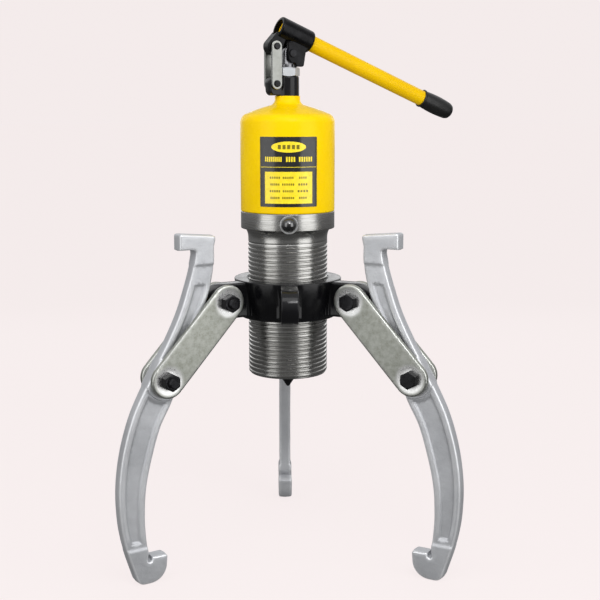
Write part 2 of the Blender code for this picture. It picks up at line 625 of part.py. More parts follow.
def lever_head():
    """The cast socket that holds the handle, its rear ear on the links and its cheeks on the plunger."""
    flat = PUMP_FRAME
    origin = flat @ upright(0.0, HANDLE_ON_AXIS, 0.0)
    falling = origin @ Matrix.Rotation(-HANDLE_FALL, 4, "Z")
    along = falling @ Matrix.Rotation(math.radians(90.0), 4, "Y")
    bore_r = TUBE_R + GAP
    socket_profile = [(bore_r, SOCKET_FRONT), (SOCKET_R - 3.0, SOCKET_FRONT)]
    socket_profile += [(SOCKET_R, SOCKET_FRONT - 3.0), (SOCKET_R, SOCKET_BACK + 1.5)]
    socket_profile += [(SOCKET_R - 1.5, SOCKET_BACK), (bore_r, SOCKET_BACK)]
    head = turned("lever_head", socket_profile, BLACK, along, steps=32, ring=True)
    ear = arc(LINK_R, LINK_HIGH, 12.5, 150.0, 330.0, 10)
    ear += [(-6.0, 548.0), (-6.0, 554.0), (-21.0, 557.0)]
    ear_hole = circle(LINK_R, LINK_HIGH, LINK_PIN_R + PIN_GAP, 16)
    rear = plate("head_ear", ear, EAR_THICK, BLACK, flat, cutters, [ear_hole])
    boolean(head, rear, "UNION")
    cheek = [(-4.5, 542.0), (-4.5, 521.0), (-3.4, 515.7), (1.5, 510.6), (7.6, 510.2), (10.4, 505.2)]
    cheek += [(20.0, 505.0), (22.5, 507.0), (25.5, 526.0), (30.0, 534.0), (36.0, 540.0)]
    slot = circle(*PLUNGER_PIN, PLUNGER_PIN_R + 1.8, 16)  # wide enough for the eye's sideways travel
    for side in (-1, 1):
        offset = flat @ upright(z=side * CHEEK_MID)
        wall = plate(f"head_cheek_{side + 1}", cheek, CHEEK_THICK, BLACK, offset, cutters, [slot])
        boolean(head, wall, "UNION")
    far = SOCKET_FRONT + 20.0
    bore = rod("socket_bore_cut", bore_r, SOCKET_BACK - 20.0, far, None, along, cutters, 32)
    boolean(head, bore, "DIFFERENCE")

    tube("handle_tube", TUBE_R, TUBE_R - 2.5, TUBE_BACK, GRIP_END - 8.0, YELLOW, along, steps=24)
    grip = [(0.0, GRIP_END), (GRIP_R - 4.0, GRIP_END - 1.0), (GRIP_R, GRIP_END - 5.0)]
    grip += [(GRIP_R + 0.6, (GRIP_START + GRIP_END) / 2), (GRIP_R - 0.2, GRIP_START + 2.0)]
    grip += [(GRIP_R - 1.0, GRIP_START), (bore_r, GRIP_START), (bore_r, GRIP_END - 7.0)]
    grip += [(0.0, GRIP_END - 7.0)]
    turned("handle_grip", grip, RUBBER, along, steps=24)


cylinder_unit()
reservoir()
collar()
for arm_name, arm_azimuth in ARMS.items():
    arm(arm_name, arm_azimuth)
pump()
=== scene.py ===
import json
import math

import bmesh
import bpy
import numpy as np
from mathutils import Matrix, Vector
from mathutils.geometry import delaunay_2d_cdt


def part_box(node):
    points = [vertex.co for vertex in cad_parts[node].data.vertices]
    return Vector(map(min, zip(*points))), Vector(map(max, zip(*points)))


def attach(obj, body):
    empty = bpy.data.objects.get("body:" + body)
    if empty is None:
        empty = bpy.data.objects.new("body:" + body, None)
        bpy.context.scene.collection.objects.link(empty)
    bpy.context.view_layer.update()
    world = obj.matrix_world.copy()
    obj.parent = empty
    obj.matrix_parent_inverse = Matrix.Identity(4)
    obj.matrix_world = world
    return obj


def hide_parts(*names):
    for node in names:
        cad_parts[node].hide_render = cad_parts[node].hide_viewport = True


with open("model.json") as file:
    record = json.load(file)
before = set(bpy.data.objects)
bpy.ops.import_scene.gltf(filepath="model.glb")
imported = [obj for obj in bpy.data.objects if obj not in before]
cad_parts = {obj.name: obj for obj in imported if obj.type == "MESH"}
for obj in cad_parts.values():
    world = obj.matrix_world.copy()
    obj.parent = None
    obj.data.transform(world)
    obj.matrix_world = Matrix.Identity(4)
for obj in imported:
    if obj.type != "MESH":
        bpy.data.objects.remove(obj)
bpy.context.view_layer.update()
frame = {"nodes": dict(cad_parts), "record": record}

MM = 0.001  # lengths below are in millimetres
RECORD = frame["record"]
BODY = {node: body for body, nodes in RECORD["behaviour"]["bodies"].items() for node in nodes}


def node_box(node):
    """Lowest and highest corner of a CAD node, in millimetres."""
    low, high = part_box(node)
    return Vector(low) / MM, Vector(high) / MM


def node_middle(node):
    low, high = node_box(node)
    return (low + high) / 2


def node_span(node):
    """Lowest and highest point of a CAD node along Z, in millimetres."""
    low, high = node_box(node)
    return low.z, high.z


# --- places read from the frame ---
BARREL_LOW, SPIGOT_TOP = node_span("cylinder_barrel")
FLANGE_R = node_box("cylinder_barrel")[1].x
SHELL_LOW, NECK_TOP = node_span("reservoir_shell")
LABEL_LOW, LABEL_TOP = node_span("label_plate")
COLLAR_LOW, COLLAR_TOP = node_span("jaw_collar")
GLAND_LOW, GLAND_TOP = node_span("gland_nut")
JAW_FLOOR = node_span("jaw_back")[0]
PUMP_BODY_TOP = node_span("pump_body")[1]
VALVE_Z = node_middle("valve_ring").z
UPPER_PIVOT = tuple(node_middle("upper_back_bolt").yz)  # radius and height, as for everything on an arm
LOWER_PIVOT = tuple(node_middle("lower_back_bolt").yz)
ARMS = {"back": 90.0, "left": 210.0, "right": 330.0}  # azimuths in degrees
SPARE_LUG = 270.0
# --- shared sizes ---
THREAD_R = 62.5
THREAD_TOP = 238.0
THREAD_PITCH = 7.0
THREAD_DEPTH = 1.6
RUNOUT = 0.1  # share of the depth at which a thread fades into the plain neck
BORE_R = 47.5
BORE_TOP = 236.0
PUMP_FOOT = 276.0
FLANGE_LOW = 257.0
FLANGE_TOP = 283.7
SPIGOT_R = 66.0
SHELL_SHOULDER = 420.5
SHOULDER_R = 14.5
SHOULDER_ARC = 62.0
DOME_TOP = (28.0, 446.4)
DOME_CROWN = (46.0, 441.8)
NECK_FILLET = 9.5
VALVE_SEAT = FLANGE_R - 5.7  # how far in front of the axis the valve's ring sits
VALVE_RING_R = 14.0
VALVE_KNOB_R = 10.8
PLUG_R = 7.0
COLLAR_BORE_R = 63.3
COLLAR_TOP_R = 85.0
COLLAR_LOW_R = 77.0
LUG_THICK = 26.0
STRAP_THICK = 10.0
STRAP_HALF_WIDTH = 27.0
STRAP_MID = LUG_THICK / 2 + 0.4 + STRAP_THICK / 2
STRAP_OUT = STRAP_MID + STRAP_THICK / 2
BOLT_R = 8.0
HOLE_R = 8.4
DISH = 0.6  # depth of the ground dish round a bolt
HEX_FLATS = 24.0
HEAD_HEIGHT = 10.0
NUT_HEIGHT = 13.0
JAW_THICK = 20.0
HOOK_THICK = 24.0
HOOK_FACE = -234.0
TOP_HOOK_FACE = 233.0
JAW_SPINE = (  # radius, height and full width of the jaw's arm, from the upper hook down to the lower one
    (151.0, 228.0, 30.0), (155.0, 200.0, 34.0), (165.0, 165.0, 36.0), (180.0, 128.0, 34.0),
    (201.0, 85.0, 36.0), (217.5, 52.0, 42.0), (232.0, 18.0, 50.0), (253.0, -23.0, 49.0),
    (268.5, -72.0, 48.0), (277.5, -120.0, 44.0), (279.0, -165.0, 40.0), (276.0, -200.0, 36.0),
    (270.5, -230.0, 31.5),
)
PUMP_TURN = 25.0  # azimuth of the handle and the links
GLAND_TURN = 7.0
PUMP_BODY_R = 18.3
LINK_R = -24.5  # in the pump's plane, like the heights of the pins and the handle below
LINK_LOW = 479.0
LINK_HIGH = 535.0
LINK_HALF_WIDTH = 8.6
LINK_THICK = 4.5
EAR_THICK = 20.0
LINK_MID = EAR_THICK / 2 + 0.4 + LINK_THICK / 2
LINK_PIN_R = 4.0
LINK_HOLE_R = 4.4
CHEEK_HOLE_R = 5.8  # wide, because the plunger's pin moves in it
CHEEK_THICK = 5.4
CHEEK_MID = 9.9
PLUNGER_R = 10.0
PLUNGER_PIN = (3.0, 525.0)
PLUNGER_EYE_R = 10.8
HANDLE_FALL = 22.0
HANDLE_ON_AXIS = 558.0
SOCKET_R = 17.5
SOCKET_BACK = -16.5
SOCKET_FRONT = 42.0
TUBE_R = 12.4
TUBE_BACK = -9.0
GRIP_START = 264.0
GRIP_END = 327.0
GRIP_R = 14.4
GAP = 0.3  # clearance between pieces that touch


# --- placing ---
def shift(x=0.0, y=0.0, z=0.0):
    return Matrix.Translation((x, y, z))


def turn(degrees, axis):
    return Matrix.Rotation(math.radians(degrees), 4, axis)


def arm_frame(azimuth):
    """Local X runs outwards, local Y up, and local Z is outwards crossed with up."""
    a = math.radians(azimuth)
    outward = Vector((math.cos(a), math.sin(a), 0.0))
    up = Vector((0.0, 0.0, 1.0))
    return Matrix((outward, up, outward.cross(up))).transposed().to_4x4()


PUMP_FRAME = arm_frame(PUMP_TURN)
HANDLE_FRAME = PUMP_FRAME @ shift(0.0, HANDLE_ON_AXIS) @ turn(-HANDLE_FALL, "Z") @ turn(90.0, "Y")
FRONT_FRAME = shift(z=VALVE_Z) @ turn(90.0, "X")
BACK_FRAME = shift(z=VALVE_Z) @ turn(-90.0, "X")


# --- meshes ---
def mesh_of(points, faces, matrix=None, marks=None):
    """A mesh from millimetre points, welded where points coincide; marks are named values at the points."""
    points = np.round(np.asarray(points, float), 4)
    _, first, index = np.unique(points, axis=0, return_index=True, return_inverse=True)
    index = index.reshape(-1)
    kept = []
    for face in faces:
        loop = [int(index[i]) for i in face]
        loop = [v for k, v in enumerate(loop) if v != loop[k - 1]]
        if len(set(loop)) == len(loop) > 2:
            kept.append(loop)
    mesh = bpy.data.meshes.new("part")
    mesh.from_pydata((points[first] * MM).tolist(), [], kept)
    for key, values in (marks or {}).items():
        layer = mesh.attributes.new(key, "FLOAT", "POINT")
        layer.data.foreach_set("value", np.asarray(values, np.float32)[first])
    if matrix is not None:
        placed = matrix.copy()
        placed.translation *= MM
        mesh.transform(placed)
    return mesh


def arc(cx, cy, radius, start, end, count):
    """Points along an arc in degrees, both ends included."""
    angles = [math.radians(start + (end - start) * i / count) for i in range(count + 1)]
    return [(cx + radius * math.cos(a), cy + radius * math.sin(a)) for a in angles]


def circle(cx, cy, radius, count=48):
    return arc(cx, cy, radius, 0.0, 360.0, count)[:-1]


def stadium(a, b, radius, count=24):
    """A straight bar with round ends about the points a and b."""
    heading = math.degrees(math.atan2(b[1] - a[1], b[0] - a[0]))
    far = arc(*b, radius, heading - 90.0, heading + 90.0, count)
    return far + arc(*a, radius, heading + 90.0, heading + 270.0, count)


def smooth_line(points, per_span):
    """Catmull-Rom points through the given ones, in any number of dimensions."""
    ends = [np.array(p) for p in (points[0], *points, points[-1])]
    found = []
    for a, b, c, d in zip(ends, ends[1:], ends[2:], ends[3:]):
        for t in np.arange(per_span) / per_span:
            bent = 2 * b + (c - a) * t + (2 * a - 5 * b + 4 * c - d) * t**2 + (3 * b - a - 3 * c + d) * t**3
            found.append(tuple(0.5 * bent))
    return [*found, tuple(points[-1])]


def softened(corners, closed=False, steps=4):
    """A line whose corners are rounded: each corner is (x, y) or (x, y, radius)."""
    found = []
    count = len(corners)
    for i, corner in enumerate(corners):
        here = Vector(corner[:2])
        radius = corner[2] if len(corner) > 2 else 0.0
        if radius == 0.0 or (not closed and i in (0, count - 1)):
            found.append(tuple(here))
            continue
        back = Vector(corners[i - 1][:2]) - here
        ahead = Vector(corners[(i + 1) % count][:2]) - here
        reach = min(radius / math.tan(back.angle(ahead) / 2), back.length * 0.49, ahead.length * 0.49)
        start = here + back.normalized() * reach
        end = here + ahead.normalized() * reach
        for k in range(steps + 1):
            t = k / steps
            found.append(tuple(start * (1 - t) ** 2 + here * 2 * t * (1 - t) + end * t**2))
    return found


def grid_faces(bands, segments, start=0, rows=0):
    """Quads between each row of points and the next one, round and round."""
    faces = []
    for i in range(bands):
        one = start + i * segments
        two = start + (i + 1) % (rows or bands + 1) * segments
        for j in range(segments):
            k = (j + 1) % segments
            faces.append((one + j, two + j, two + k, one + k))
    return faces


def lathe(profile, matrix=None, segments=96, closed=False):
    """A turned mesh about local Z from (radius, height) points that run down its outer side."""
    angles = np.arange(segments) * 2 * math.pi / segments
    points = [(r * math.cos(a), r * math.sin(a), z) for r, z in profile for a in angles]
    rows = len(profile)
    faces = grid_faces(rows if closed else rows - 1, segments, rows=rows)
    return mesh_of(points, faces, matrix)


def drill(radius, top, foot):
    """The profile of a plain cylinder."""
    return [(0.0, top), (radius, top), (radius, foot), (0.0, foot)]


def ridge(phase):
    """Depth share of a thread below its crest: a flat crest, straight flanks and a rounded root."""
    slope = np.clip((np.abs(phase - 0.5) - 0.05) / 0.23, 0.0, 1.0)
    return 1.0 - slope * slope * (3.0 - 2.0 * slope)


def threaded(major, depth, pitch, low, high, above, below, segments=128, per_turn=10, matrix=None):
    """A turned mesh with a helical thread from low to high, continued by the profiles above and below.

    The grid's rows follow the helix, and rows past either end collapse onto that end's circle."""
    rise = pitch / per_turn
    rows = int(math.ceil((high - low) / rise)) + 2 * per_turn + 2
    i = np.arange(rows)[:, None]
    j = np.arange(segments)[None, :]
    z = np.clip(low + (i - per_turn + per_turn * j / segments) * rise, low, high)
    radius = major - depth * ridge(((i % per_turn) / per_turn) + 0.0 * j)
    fade = np.clip((high - z) / pitch, 0.0, 1.0)
    radius = radius * fade + (major - depth * RUNOUT) * (1 - fade)
    chamfer = major - depth - 1.2 + (z - low) * 0.9
    radius = np.minimum(radius, chamfer)
    angle = 2 * math.pi * j / segments
    points = np.stack([radius * np.cos(angle), radius * np.sin(angle), z], axis=-1).reshape(-1, 3).tolist()
    faces = []
    for a in range(rows - 1):
        for b in range(segments - 1):
            at = a * segments + b
            faces.append((at, at + 1, at + 1 + segments, at + segments))
        if a + per_turn + 1 < rows:
            near = a * segments + segments - 1
            far = (a + per_turn) * segments
            faces.append((near, far, far + segments, near + segments))
    spread = 2 * math.pi * np.arange(segments) / segments
    tops = [*above, (float(radius[-1, -1]), high)]
    feet = [(float(radius[0, 0]), low), *below]
    for line in (tops, feet):
        start = len(points)
        points += [(r * math.cos(t), r * math.sin(t), h) for r, h in line for t in spread]
        faces += grid_faces(len(line) - 1, segments, start)
    return mesh_of(points, faces, matrix)


def signed_area(loop):
    x, y = np.array(loop).T
    return 0.5 * float(np.sum(x * np.roll(y, -1) - y * np.roll(x, -1)))


def divided(loop, longest, widdershins):
    """The loop with its long edges cut up, turned the wanted way round."""
    if (signed_area(loop) > 0) != widdershins:
        loop = loop[::-1]
    found = []
    for a, b in zip(loop, [*loop[1:], loop[0]]):
        cuts = max(1, math.ceil(math.dist(a, b) / longest))
        found += [(a[0] + (b[0] - a[0]) * k / cuts, a[1] + (b[1] - a[1]) * k / cuts) for k in range(cuts)]
    return np.array(found)


class Outline:
    """The edges of a flat piece: which points lie inside, and how far each is from the nearest edge."""

    def __init__(self, loops):
        self.loops = loops
        self.a = np.concatenate(loops)
        self.b = np.concatenate([np.roll(loop, -1, axis=0) for loop in loops])

    def inside(self, p):
        x, y = p[:, :1], p[:, 1:]
        (ax, ay), (bx, by) = self.a.T, self.b.T
        rising = np.where(by == ay, 1.0, by - ay)
        crossed = ((ay > y) != (by > y)) & (x < (bx - ax) * (y - ay) / rising + ax)
        return crossed.sum(axis=1) % 2 == 1

    def distance(self, p):
        along = self.b - self.a
        size = np.maximum((along**2).sum(axis=1), 1e-9)
        best = np.full(len(p), 1e9)
        for start in range(0, len(p), 512):
            q = p[start : start + 512, None, :] - self.a[None, :, :]
            t = np.clip((q * along).sum(axis=2) / size, 0.0, 1.0)
            gap = q - t[:, :, None] * along
            best[start : start + 512] = np.sqrt((gap**2).sum(axis=2)).min(axis=1)
        return best


def inner_points(shape, rings, extra, pitch):
    """Points to mesh inside an outline: rows along its edges, the extra ones, and a staggered grid."""
    offers = []
    for loop in shape.loops:
        ahead = np.roll(loop, -1, axis=0) - loop
        ahead /= np.linalg.norm(ahead, axis=1)[:, None]
        inward = np.stack([-ahead[:, 1], ahead[:, 0]], axis=1)
        inward = inward + np.roll(inward, 1, axis=0)
        inward /= np.maximum(np.linalg.norm(inward, axis=1), 0.3)[:, None]
        for ring in rings:
            near = loop + inward * ring
            true = shape.inside(near) & (np.abs(shape.distance(near) - ring) < 0.1 * ring + 0.02)
            offers.append(near[true])
    deepest = max(rings, default=0.0)
    if len(extra):
        spare = np.array(extra, float)
        spare = spare[shape.inside(spare)]
        offers.append(spare[shape.distance(spare) > 0.35])
    low, high = shape.a.min(axis=0), shape.a.max(axis=0)
    gx, gy = np.meshgrid(np.arange(low[0], high[0], pitch), np.arange(low[1], high[1], pitch * 0.87))
    gx = gx + pitch / 2 * (np.arange(gx.shape[0])[:, None] % 2)
    grid = np.stack([gx.ravel(), gy.ravel()], axis=1)
    grid = grid[shape.inside(grid)]
    grid = grid[shape.distance(grid) > deepest + 0.45 * pitch]
    if len(extra) and len(grid):
        gaps = np.sqrt(((grid[:, None, :] - offers[-1][None, :, :]) ** 2).sum(axis=2)).min(axis=1)
        grid = grid[gaps > 0.4 * pitch]
    offers.append(grid)
    inner = np.concatenate(offers)
    return inner[np.sort(np.unique(np.round(inner, 1), axis=0, return_index=True)[1])]


def triangulated(shape, inner):
    """Points and triangles that fill an outline, and which of those points each given one became."""
    given = np.concatenate([*shape.loops, inner])
    edges = []
    start = 0
    for loop in shape.loops:
        count = len(loop)
        edges += [(start + k, start + (k + 1) % count) for k in range(count)]
        start += count
    flat, _, triangles, origin, _, _ = delaunay_2d_cdt([Vector(p) for p in given], edges, [], 0, 1e-5)
    place = {old: new for new, olds in enumerate(origin) for old in olds}
    flat = np.array([tuple(p) for p in flat])
    triangles = np.array([tuple(t) for t in triangles])
    triangles = triangles[shape.inside(flat[triangles].mean(axis=1))]
    one, two, three = (flat[triangles[:, k]] for k in range(3))
    (ax, ay), (bx, by) = (two - one).T, (three - one).T
    triangles[ax * by < ay * bx] = triangles[ax * by < ay * bx][:, ::-1]
    return flat, triangles, place


def relief(outline, top, bottom=None, holes=(), rings=(), pitch=4.0, extra=(), belly=0.0, matrix=None,
           marks=None, wrap=None):
    """A flat piece whose faces follow height functions of (x, y, distance to the edge).

    Rings are the distances from the edge where the height bends, extra holds further points to keep, and
    belly pushes the middle of the side wall outwards, as at a forging's parting line."""
    loops = [divided(outline, pitch, True)] + [divided(hole, pitch, False) for hole in holes]
    shape = Outline(loops)
    flat, triangles, place = triangulated(shape, inner_points(shape, rings, extra, pitch))
    depth = shape.distance(flat)
    depth[[place[k] for k in range(len(shape.a))]] = 0.0
    x, y = flat.T
    up = top(x, y, depth) + 0.0 * x
    down = bottom(x, y, depth) + 0.0 * x if bottom else -up
    count = len(flat)
    points = [np.column_stack([flat, up]), np.column_stack([flat, down])]
    faces = [tuple(t) for t in triangles] + [tuple(t[::-1] + count) for t in triangles]
    values = {key: [make(x, y, depth)] * 2 for key, make in (marks or {}).items()}
    total = 2 * count
    shares = (0.88, 0.5, 0.12) if belly else ()
    begin = 0
    for loop in loops:
        size = len(loop)
        rim = [place[begin + k] for k in range(size)]
        begin += size
        rows = [rim]
        ahead = np.roll(loop, -1, axis=0) - np.roll(loop, 1, axis=0)
        outward = np.stack([ahead[:, 1], -ahead[:, 0]], axis=1) / np.linalg.norm(ahead, axis=1)[:, None]
        for share in shares:
            z = down[rim] + (up[rim] - down[rim]) * share
            push = belly * (1.0 - abs(2.0 * share - 1.0))
            points.append(np.column_stack([flat[rim] + outward * push, z]))
            for key in values:
                values[key].append(np.zeros(size))
            rows.append(list(range(total, total + size)))
            total += size
        rows.append([v + count for v in rim])
        for upper, lower in zip(rows, rows[1:]):
            for k in range(size):
                m = (k + 1) % size
                faces.append((lower[k], lower[m], upper[m], upper[k]))
    points = np.concatenate(points)
    if wrap:
        points = wrap(points)
    return mesh_of(points, faces, matrix, {key: np.concatenate(v) for key, v in values.items()})


def rounding(radius, steps=4):
    """The ring distances that an edge rounding of this radius needs."""
    return [radius * (1.0 - math.cos(math.pi / 2 * k / steps)) for k in range(1, steps + 1)]


def edge_drop(d, radius):
    """How far a face lies below its flat level at distance d from an edge rounded with this radius."""
    inset = np.clip(radius - d, 0.0, radius)
    return radius - np.sqrt(np.maximum(radius**2 - inset**2, 0.0))


def slab(thickness, radius=0.0):
    """The height function of a plain plate whose edges are rounded."""
    return lambda x, y, d: thickness / 2 - edge_drop(d, radius)


def coned(height, land, slope):
    """The height function of a hexagon's end, which falls away as a cone outside its land."""
    return lambda x, y, d: height / 2 - np.maximum(np.hypot(x, y) - land, 0.0) * slope


def gap_to(x, y, *pivots):
    """Distance to the nearest of the pivots."""
    return np.min([np.hypot(x - across, y - up) for across, up in pivots], axis=0)


def step(value, low, high):
    """0 below low, 1 above high, and a smooth rise between them."""
    t = np.clip((value - low) / (high - low), 0.0, 1.0)
    return t * t * (3.0 - 2.0 * t)


def linked(name, content):
    """A new object in the scene."""
    thing = bpy.data.objects.new(name, content)
    bpy.context.scene.collection.objects.link(thing)
    return thing


def piece(mesh, name, look, body, replaced=(), sharp=38.0):
    """The finished object: its material, shading, body, slot and the CAD nodes it stands for."""
    thing = linked(name, mesh)
    mesh.name = name
    mesh.materials.clear()
    mesh.materials.append(look)
    mesh.shade_smooth()
    mesh.set_sharp_from_angle(angle=math.radians(sharp))
    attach(thing, body)
    if replaced:
        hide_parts(*replaced)
    return thing


def stand_in(mesh, node, look, sharp=38.0):
    """A finer piece for one CAD node, on that node's body."""
    return piece(mesh, node + "_fine", look, BODY[node], (node,), sharp)


def turned(node, profile, look, matrix=None, segments=96, closed=False):
    """A stand-in that is only turned."""
    stand_in(lathe(profile, matrix, segments, closed), node, look)


def baked(thing, spare):
    """The evaluated mesh of a thing, after which the spare objects are removed."""
    graph = bpy.context.evaluated_depsgraph_get()
    mesh = bpy.data.meshes.new_from_object(thing.evaluated_get(graph))
    for old in spare:
        bpy.data.objects.remove(old, do_unlink=True)
    return mesh


def joined(mesh, others, operation):
    """The mesh after a Boolean with each of the others in turn."""
    base = linked("base", mesh)
    tools = [linked("tool", other) for other in others]
    for tool in tools:
        made = base.modifiers.new("cut", "BOOLEAN")
        made.operation = operation
        made.solver = "EXACT"
        made.object = tool
    return baked(base, [base, *tools])


def gathered(meshes):
    """Several meshes as one, with nothing welded."""
    shape = bmesh.new()
    for mesh in meshes:
        shape.from_mesh(mesh)
    whole = bpy.data.meshes.new("part")
    shape.to_mesh(whole)
    shape.free()
    return whole


def cast(meshes, voxel, passes):
    """Overlapping solids melted into one casting whose inner corners are rounded."""
    thing = linked("cast", gathered(meshes))
    remesh = thing.modifiers.new("melt", "REMESH")
    remesh.mode = "VOXEL"
    remesh.voxel_size = voxel * MM
    calm = thing.modifiers.new("calm", "CORRECTIVE_SMOOTH")
    calm.factor = 0.5
    calm.iterations = passes
    calm.smooth_type = "SIMPLE"
    calm.use_only_smooth = True
    return baked(thing, [thing])


# --- materials ---
MIX_FACTOR, MIX_FIRST, MIX_SECOND, MIX_COLOUR = 0, 6, 7, 2  # a colour mix node's sockets


def add_node(tree, kind, inputs, **settings):
    """A new shader node, each of whose inputs is a constant or another node's output."""
    node = tree.nodes.new(kind)
    for name, value in settings.items():
        setattr(node, name, value)
    for socket, value in inputs.items():
        if isinstance(value, bpy.types.NodeSocket):
            tree.links.new(value, node.inputs[socket])
        else:
            node.inputs[socket].default_value = value
    return node


class Look:
    """A Principled material, built up from noise in the piece's own space."""

    def __init__(self, name, roughness, metallic=0.0, **settings):
        self.made = bpy.data.materials.new(name)
        self.made.use_nodes = True
        self.tree = self.made.node_tree
        self.shader = self.tree.nodes["Principled BSDF"]
        self.place = add_node(self.tree, "ShaderNodeTexCoord", {}).outputs["Object"]
        self.bumps = None
        for socket, value in {"Roughness": roughness, "Metallic": metallic, **settings}.items():
            self.shader.inputs[socket.replace("_", " ")].default_value = value

    def noise(self, per_metre, stretch=(1.0, 1.0, 1.0), detail=3.0, low=0.35, high=0.65):
        """Noise from 0 to 1, so many waves to the metre, each axis stretched by its share."""
        scale = add_node(self.tree, "ShaderNodeMapping", {"Scale": stretch, "Vector": self.place})
        waves = {"Scale": per_metre, "Detail": detail, "Vector": scale.outputs["Vector"]}
        cloud = add_node(self.tree, "ShaderNodeTexNoise", waves)
        return self.ranged(cloud.outputs["Fac"], 0.0, 1.0, low, high)

    def ranged(self, source, to_low, to_high, low=0.0, high=1.0):
        """A value that runs from low to high, fitted to another range."""
        limits = {"From Min": low, "From Max": high, "To Min": to_low, "To Max": to_high, "Value": source}
        return add_node(self.tree, "ShaderNodeMapRange", limits).outputs["Result"]

    def mark(self, key):
        """A value that the mesh carries at its points."""
        return add_node(self.tree, "ShaderNodeAttribute", {}, attribute_name=key).outputs["Fac"]

    def blend(self, factor, first, second):
        """A colour between two; either may be a colour or an earlier blend."""
        first, second = ((*c, 1.0) if isinstance(c, tuple) else c for c in (first, second))
        inputs = {MIX_FACTOR: factor, MIX_FIRST: first, MIX_SECOND: second}
        return add_node(self.tree, "ShaderNodeMix", inputs, data_type="RGBA").outputs[MIX_COLOUR]

    def sum(self, first, second, share):
        """The first value plus a share of the second."""
        inputs = {0: second, 1: share, 2: first}
        return add_node(self.tree, "ShaderNodeMath", inputs, operation="MULTIPLY_ADD").outputs[0]

    def colour(self, source):
        self.tree.links.new(source, self.shader.inputs["Base Color"])

    def rough(self, source):
        self.tree.links.new(source, self.shader.inputs["Roughness"])

    def bump(self, source, height):
        """Raises the surface by up to height millimetres where the source is 1."""
        inputs = {"Distance": height * MM, "Height": source}
        if self.bumps:
            inputs["Normal"] = self.bumps
        self.bumps = add_node(self.tree, "ShaderNodeBump", inputs).outputs["Normal"]
        self.tree.links.new(self.bumps, self.shader.inputs["Normal"])


def coated(name, deep, light, roughness, drift, sheen, bumps=(), **settings):
    """A skin whose colour drifts from deep to light, with an uneven sheen and fine bumps.

    Drift is waves to the metre and detail; sheen is waves to the metre and how far the roughness falls and
    rises; each bump is waves to the metre, detail and height."""
    look = Look(name, roughness, **settings)
    look.colour(look.blend(look.noise(drift[0], detail=drift[1]), deep, light))
    look.rough(look.ranged(look.noise(sheen[0]), roughness - sheen[1], roughness + sheen[2]))
    for per_metre, detail, height in bumps:
        look.bump(look.noise(per_metre, detail=detail), height)
    return look.made


def scaled(tone, share, lift=0.0):
    return tuple(share * c + lift for c in tone)


def painted(name, deep, light, roughness, specular):
    """Sprayed gloss enamel: faint orange peel and a slow drift of colour."""
    return coated(name, deep, light, roughness, (9.0, 2.0), (60.0, 0.04, 0.08),
                  ((420.0, 1.0, 0.002), (35.0, 1.0, 0.012)), Specular_IOR_Level=specular)


def oxide(name, tone, roughness, specular=0.5):
    """Black-oxide steel: near black, oily, with a fine grain."""
    return coated(name, tone, scaled(tone, 2.2), roughness, (90.0, 4.0), (160.0, 0.08, 0.12),
                  ((700.0, 2.0, 0.02),), metallic=0.55, Specular_IOR_Level=specular)


def rubber(name, tone, roughness):
    return coated(name, tone, scaled(tone, 1.8), roughness, (40.0, 3.0), (120.0, 0.06, 0.1),
                  ((900.0, 2.0, 0.03),), Specular_IOR_Level=0.35)


def printed(name, tone, roughness=0.16):
    """Printed glossy film, with a slight unevenness of the ink."""
    return coated(name, tone, scaled(tone, 1.15, 0.004), roughness, (150.0, 3.0), (80.0, 0.04, 0.08),
                  Specular_IOR_Level=0.6)


def turned_steel(name, deep, light, roughness, axis=(1.0, 1.0, 30.0)):
    """Steel off the lathe: fine tool lines round the axis, oil-dark patches and small nicks."""
    look = Look(name, roughness, 1.0)
    lines = look.noise(28.0, axis, detail=4.0)
    drift = look.noise(14.0, detail=4.0)
    tone = look.sum(look.ranged(lines, 0.0, 0.55), drift, 0.45)
    look.colour(look.blend(tone, deep, light))
    look.rough(look.ranged(tone, roughness + 0.1, roughness - 0.06))
    look.bump(look.noise(60.0, axis, detail=2.0), 0.012)
    return look.made


def zinc(name, level):
    """Dull zinc plate: blotched spangle, grey-green drift, rounded edges lightened as wear and as a painted
    highlight, and ground ends lightened as bare steel and as a painted highlight.
    """
    look = Look(name, 0.42, 1.0)
    dull, pale, spark, bare_and_highlit, worn_and_highlit = (scaled(tone, level) for tone in (
        (0.30, 0.31, 0.265), (0.43, 0.44, 0.40), (0.56, 0.57, 0.53), (0.80, 0.80, 0.79), (0.66, 0.67, 0.65)))
    cloud = look.blend(look.noise(130.0, detail=5.0), dull, pale)
    speckle = look.noise(520.0, detail=2.0, low=0.3, high=0.7)
    speckled = look.blend(look.ranged(speckle, 0.0, 0.35), cloud, spark)
    # Round each bolt the ground dish is painted lighter, as bare steel and as a painted highlight.
    ground = look.blend(look.mark("ground"), speckled, bare_and_highlit)
    # Along the rounded edges a pale colour stands for rubbed plate and paints a highlight.
    look.colour(look.blend(look.ranged(look.mark("edge"), 0.0, 0.6), ground, worn_and_highlit))
    base = look.sum(look.ranged(speckle, 0.40, 0.52), look.mark("ground"), -0.16)
    look.rough(look.sum(base, look.mark("edge"), -0.12))
    look.bump(look.noise(45.0, detail=3.0), 0.02)
    return look.made


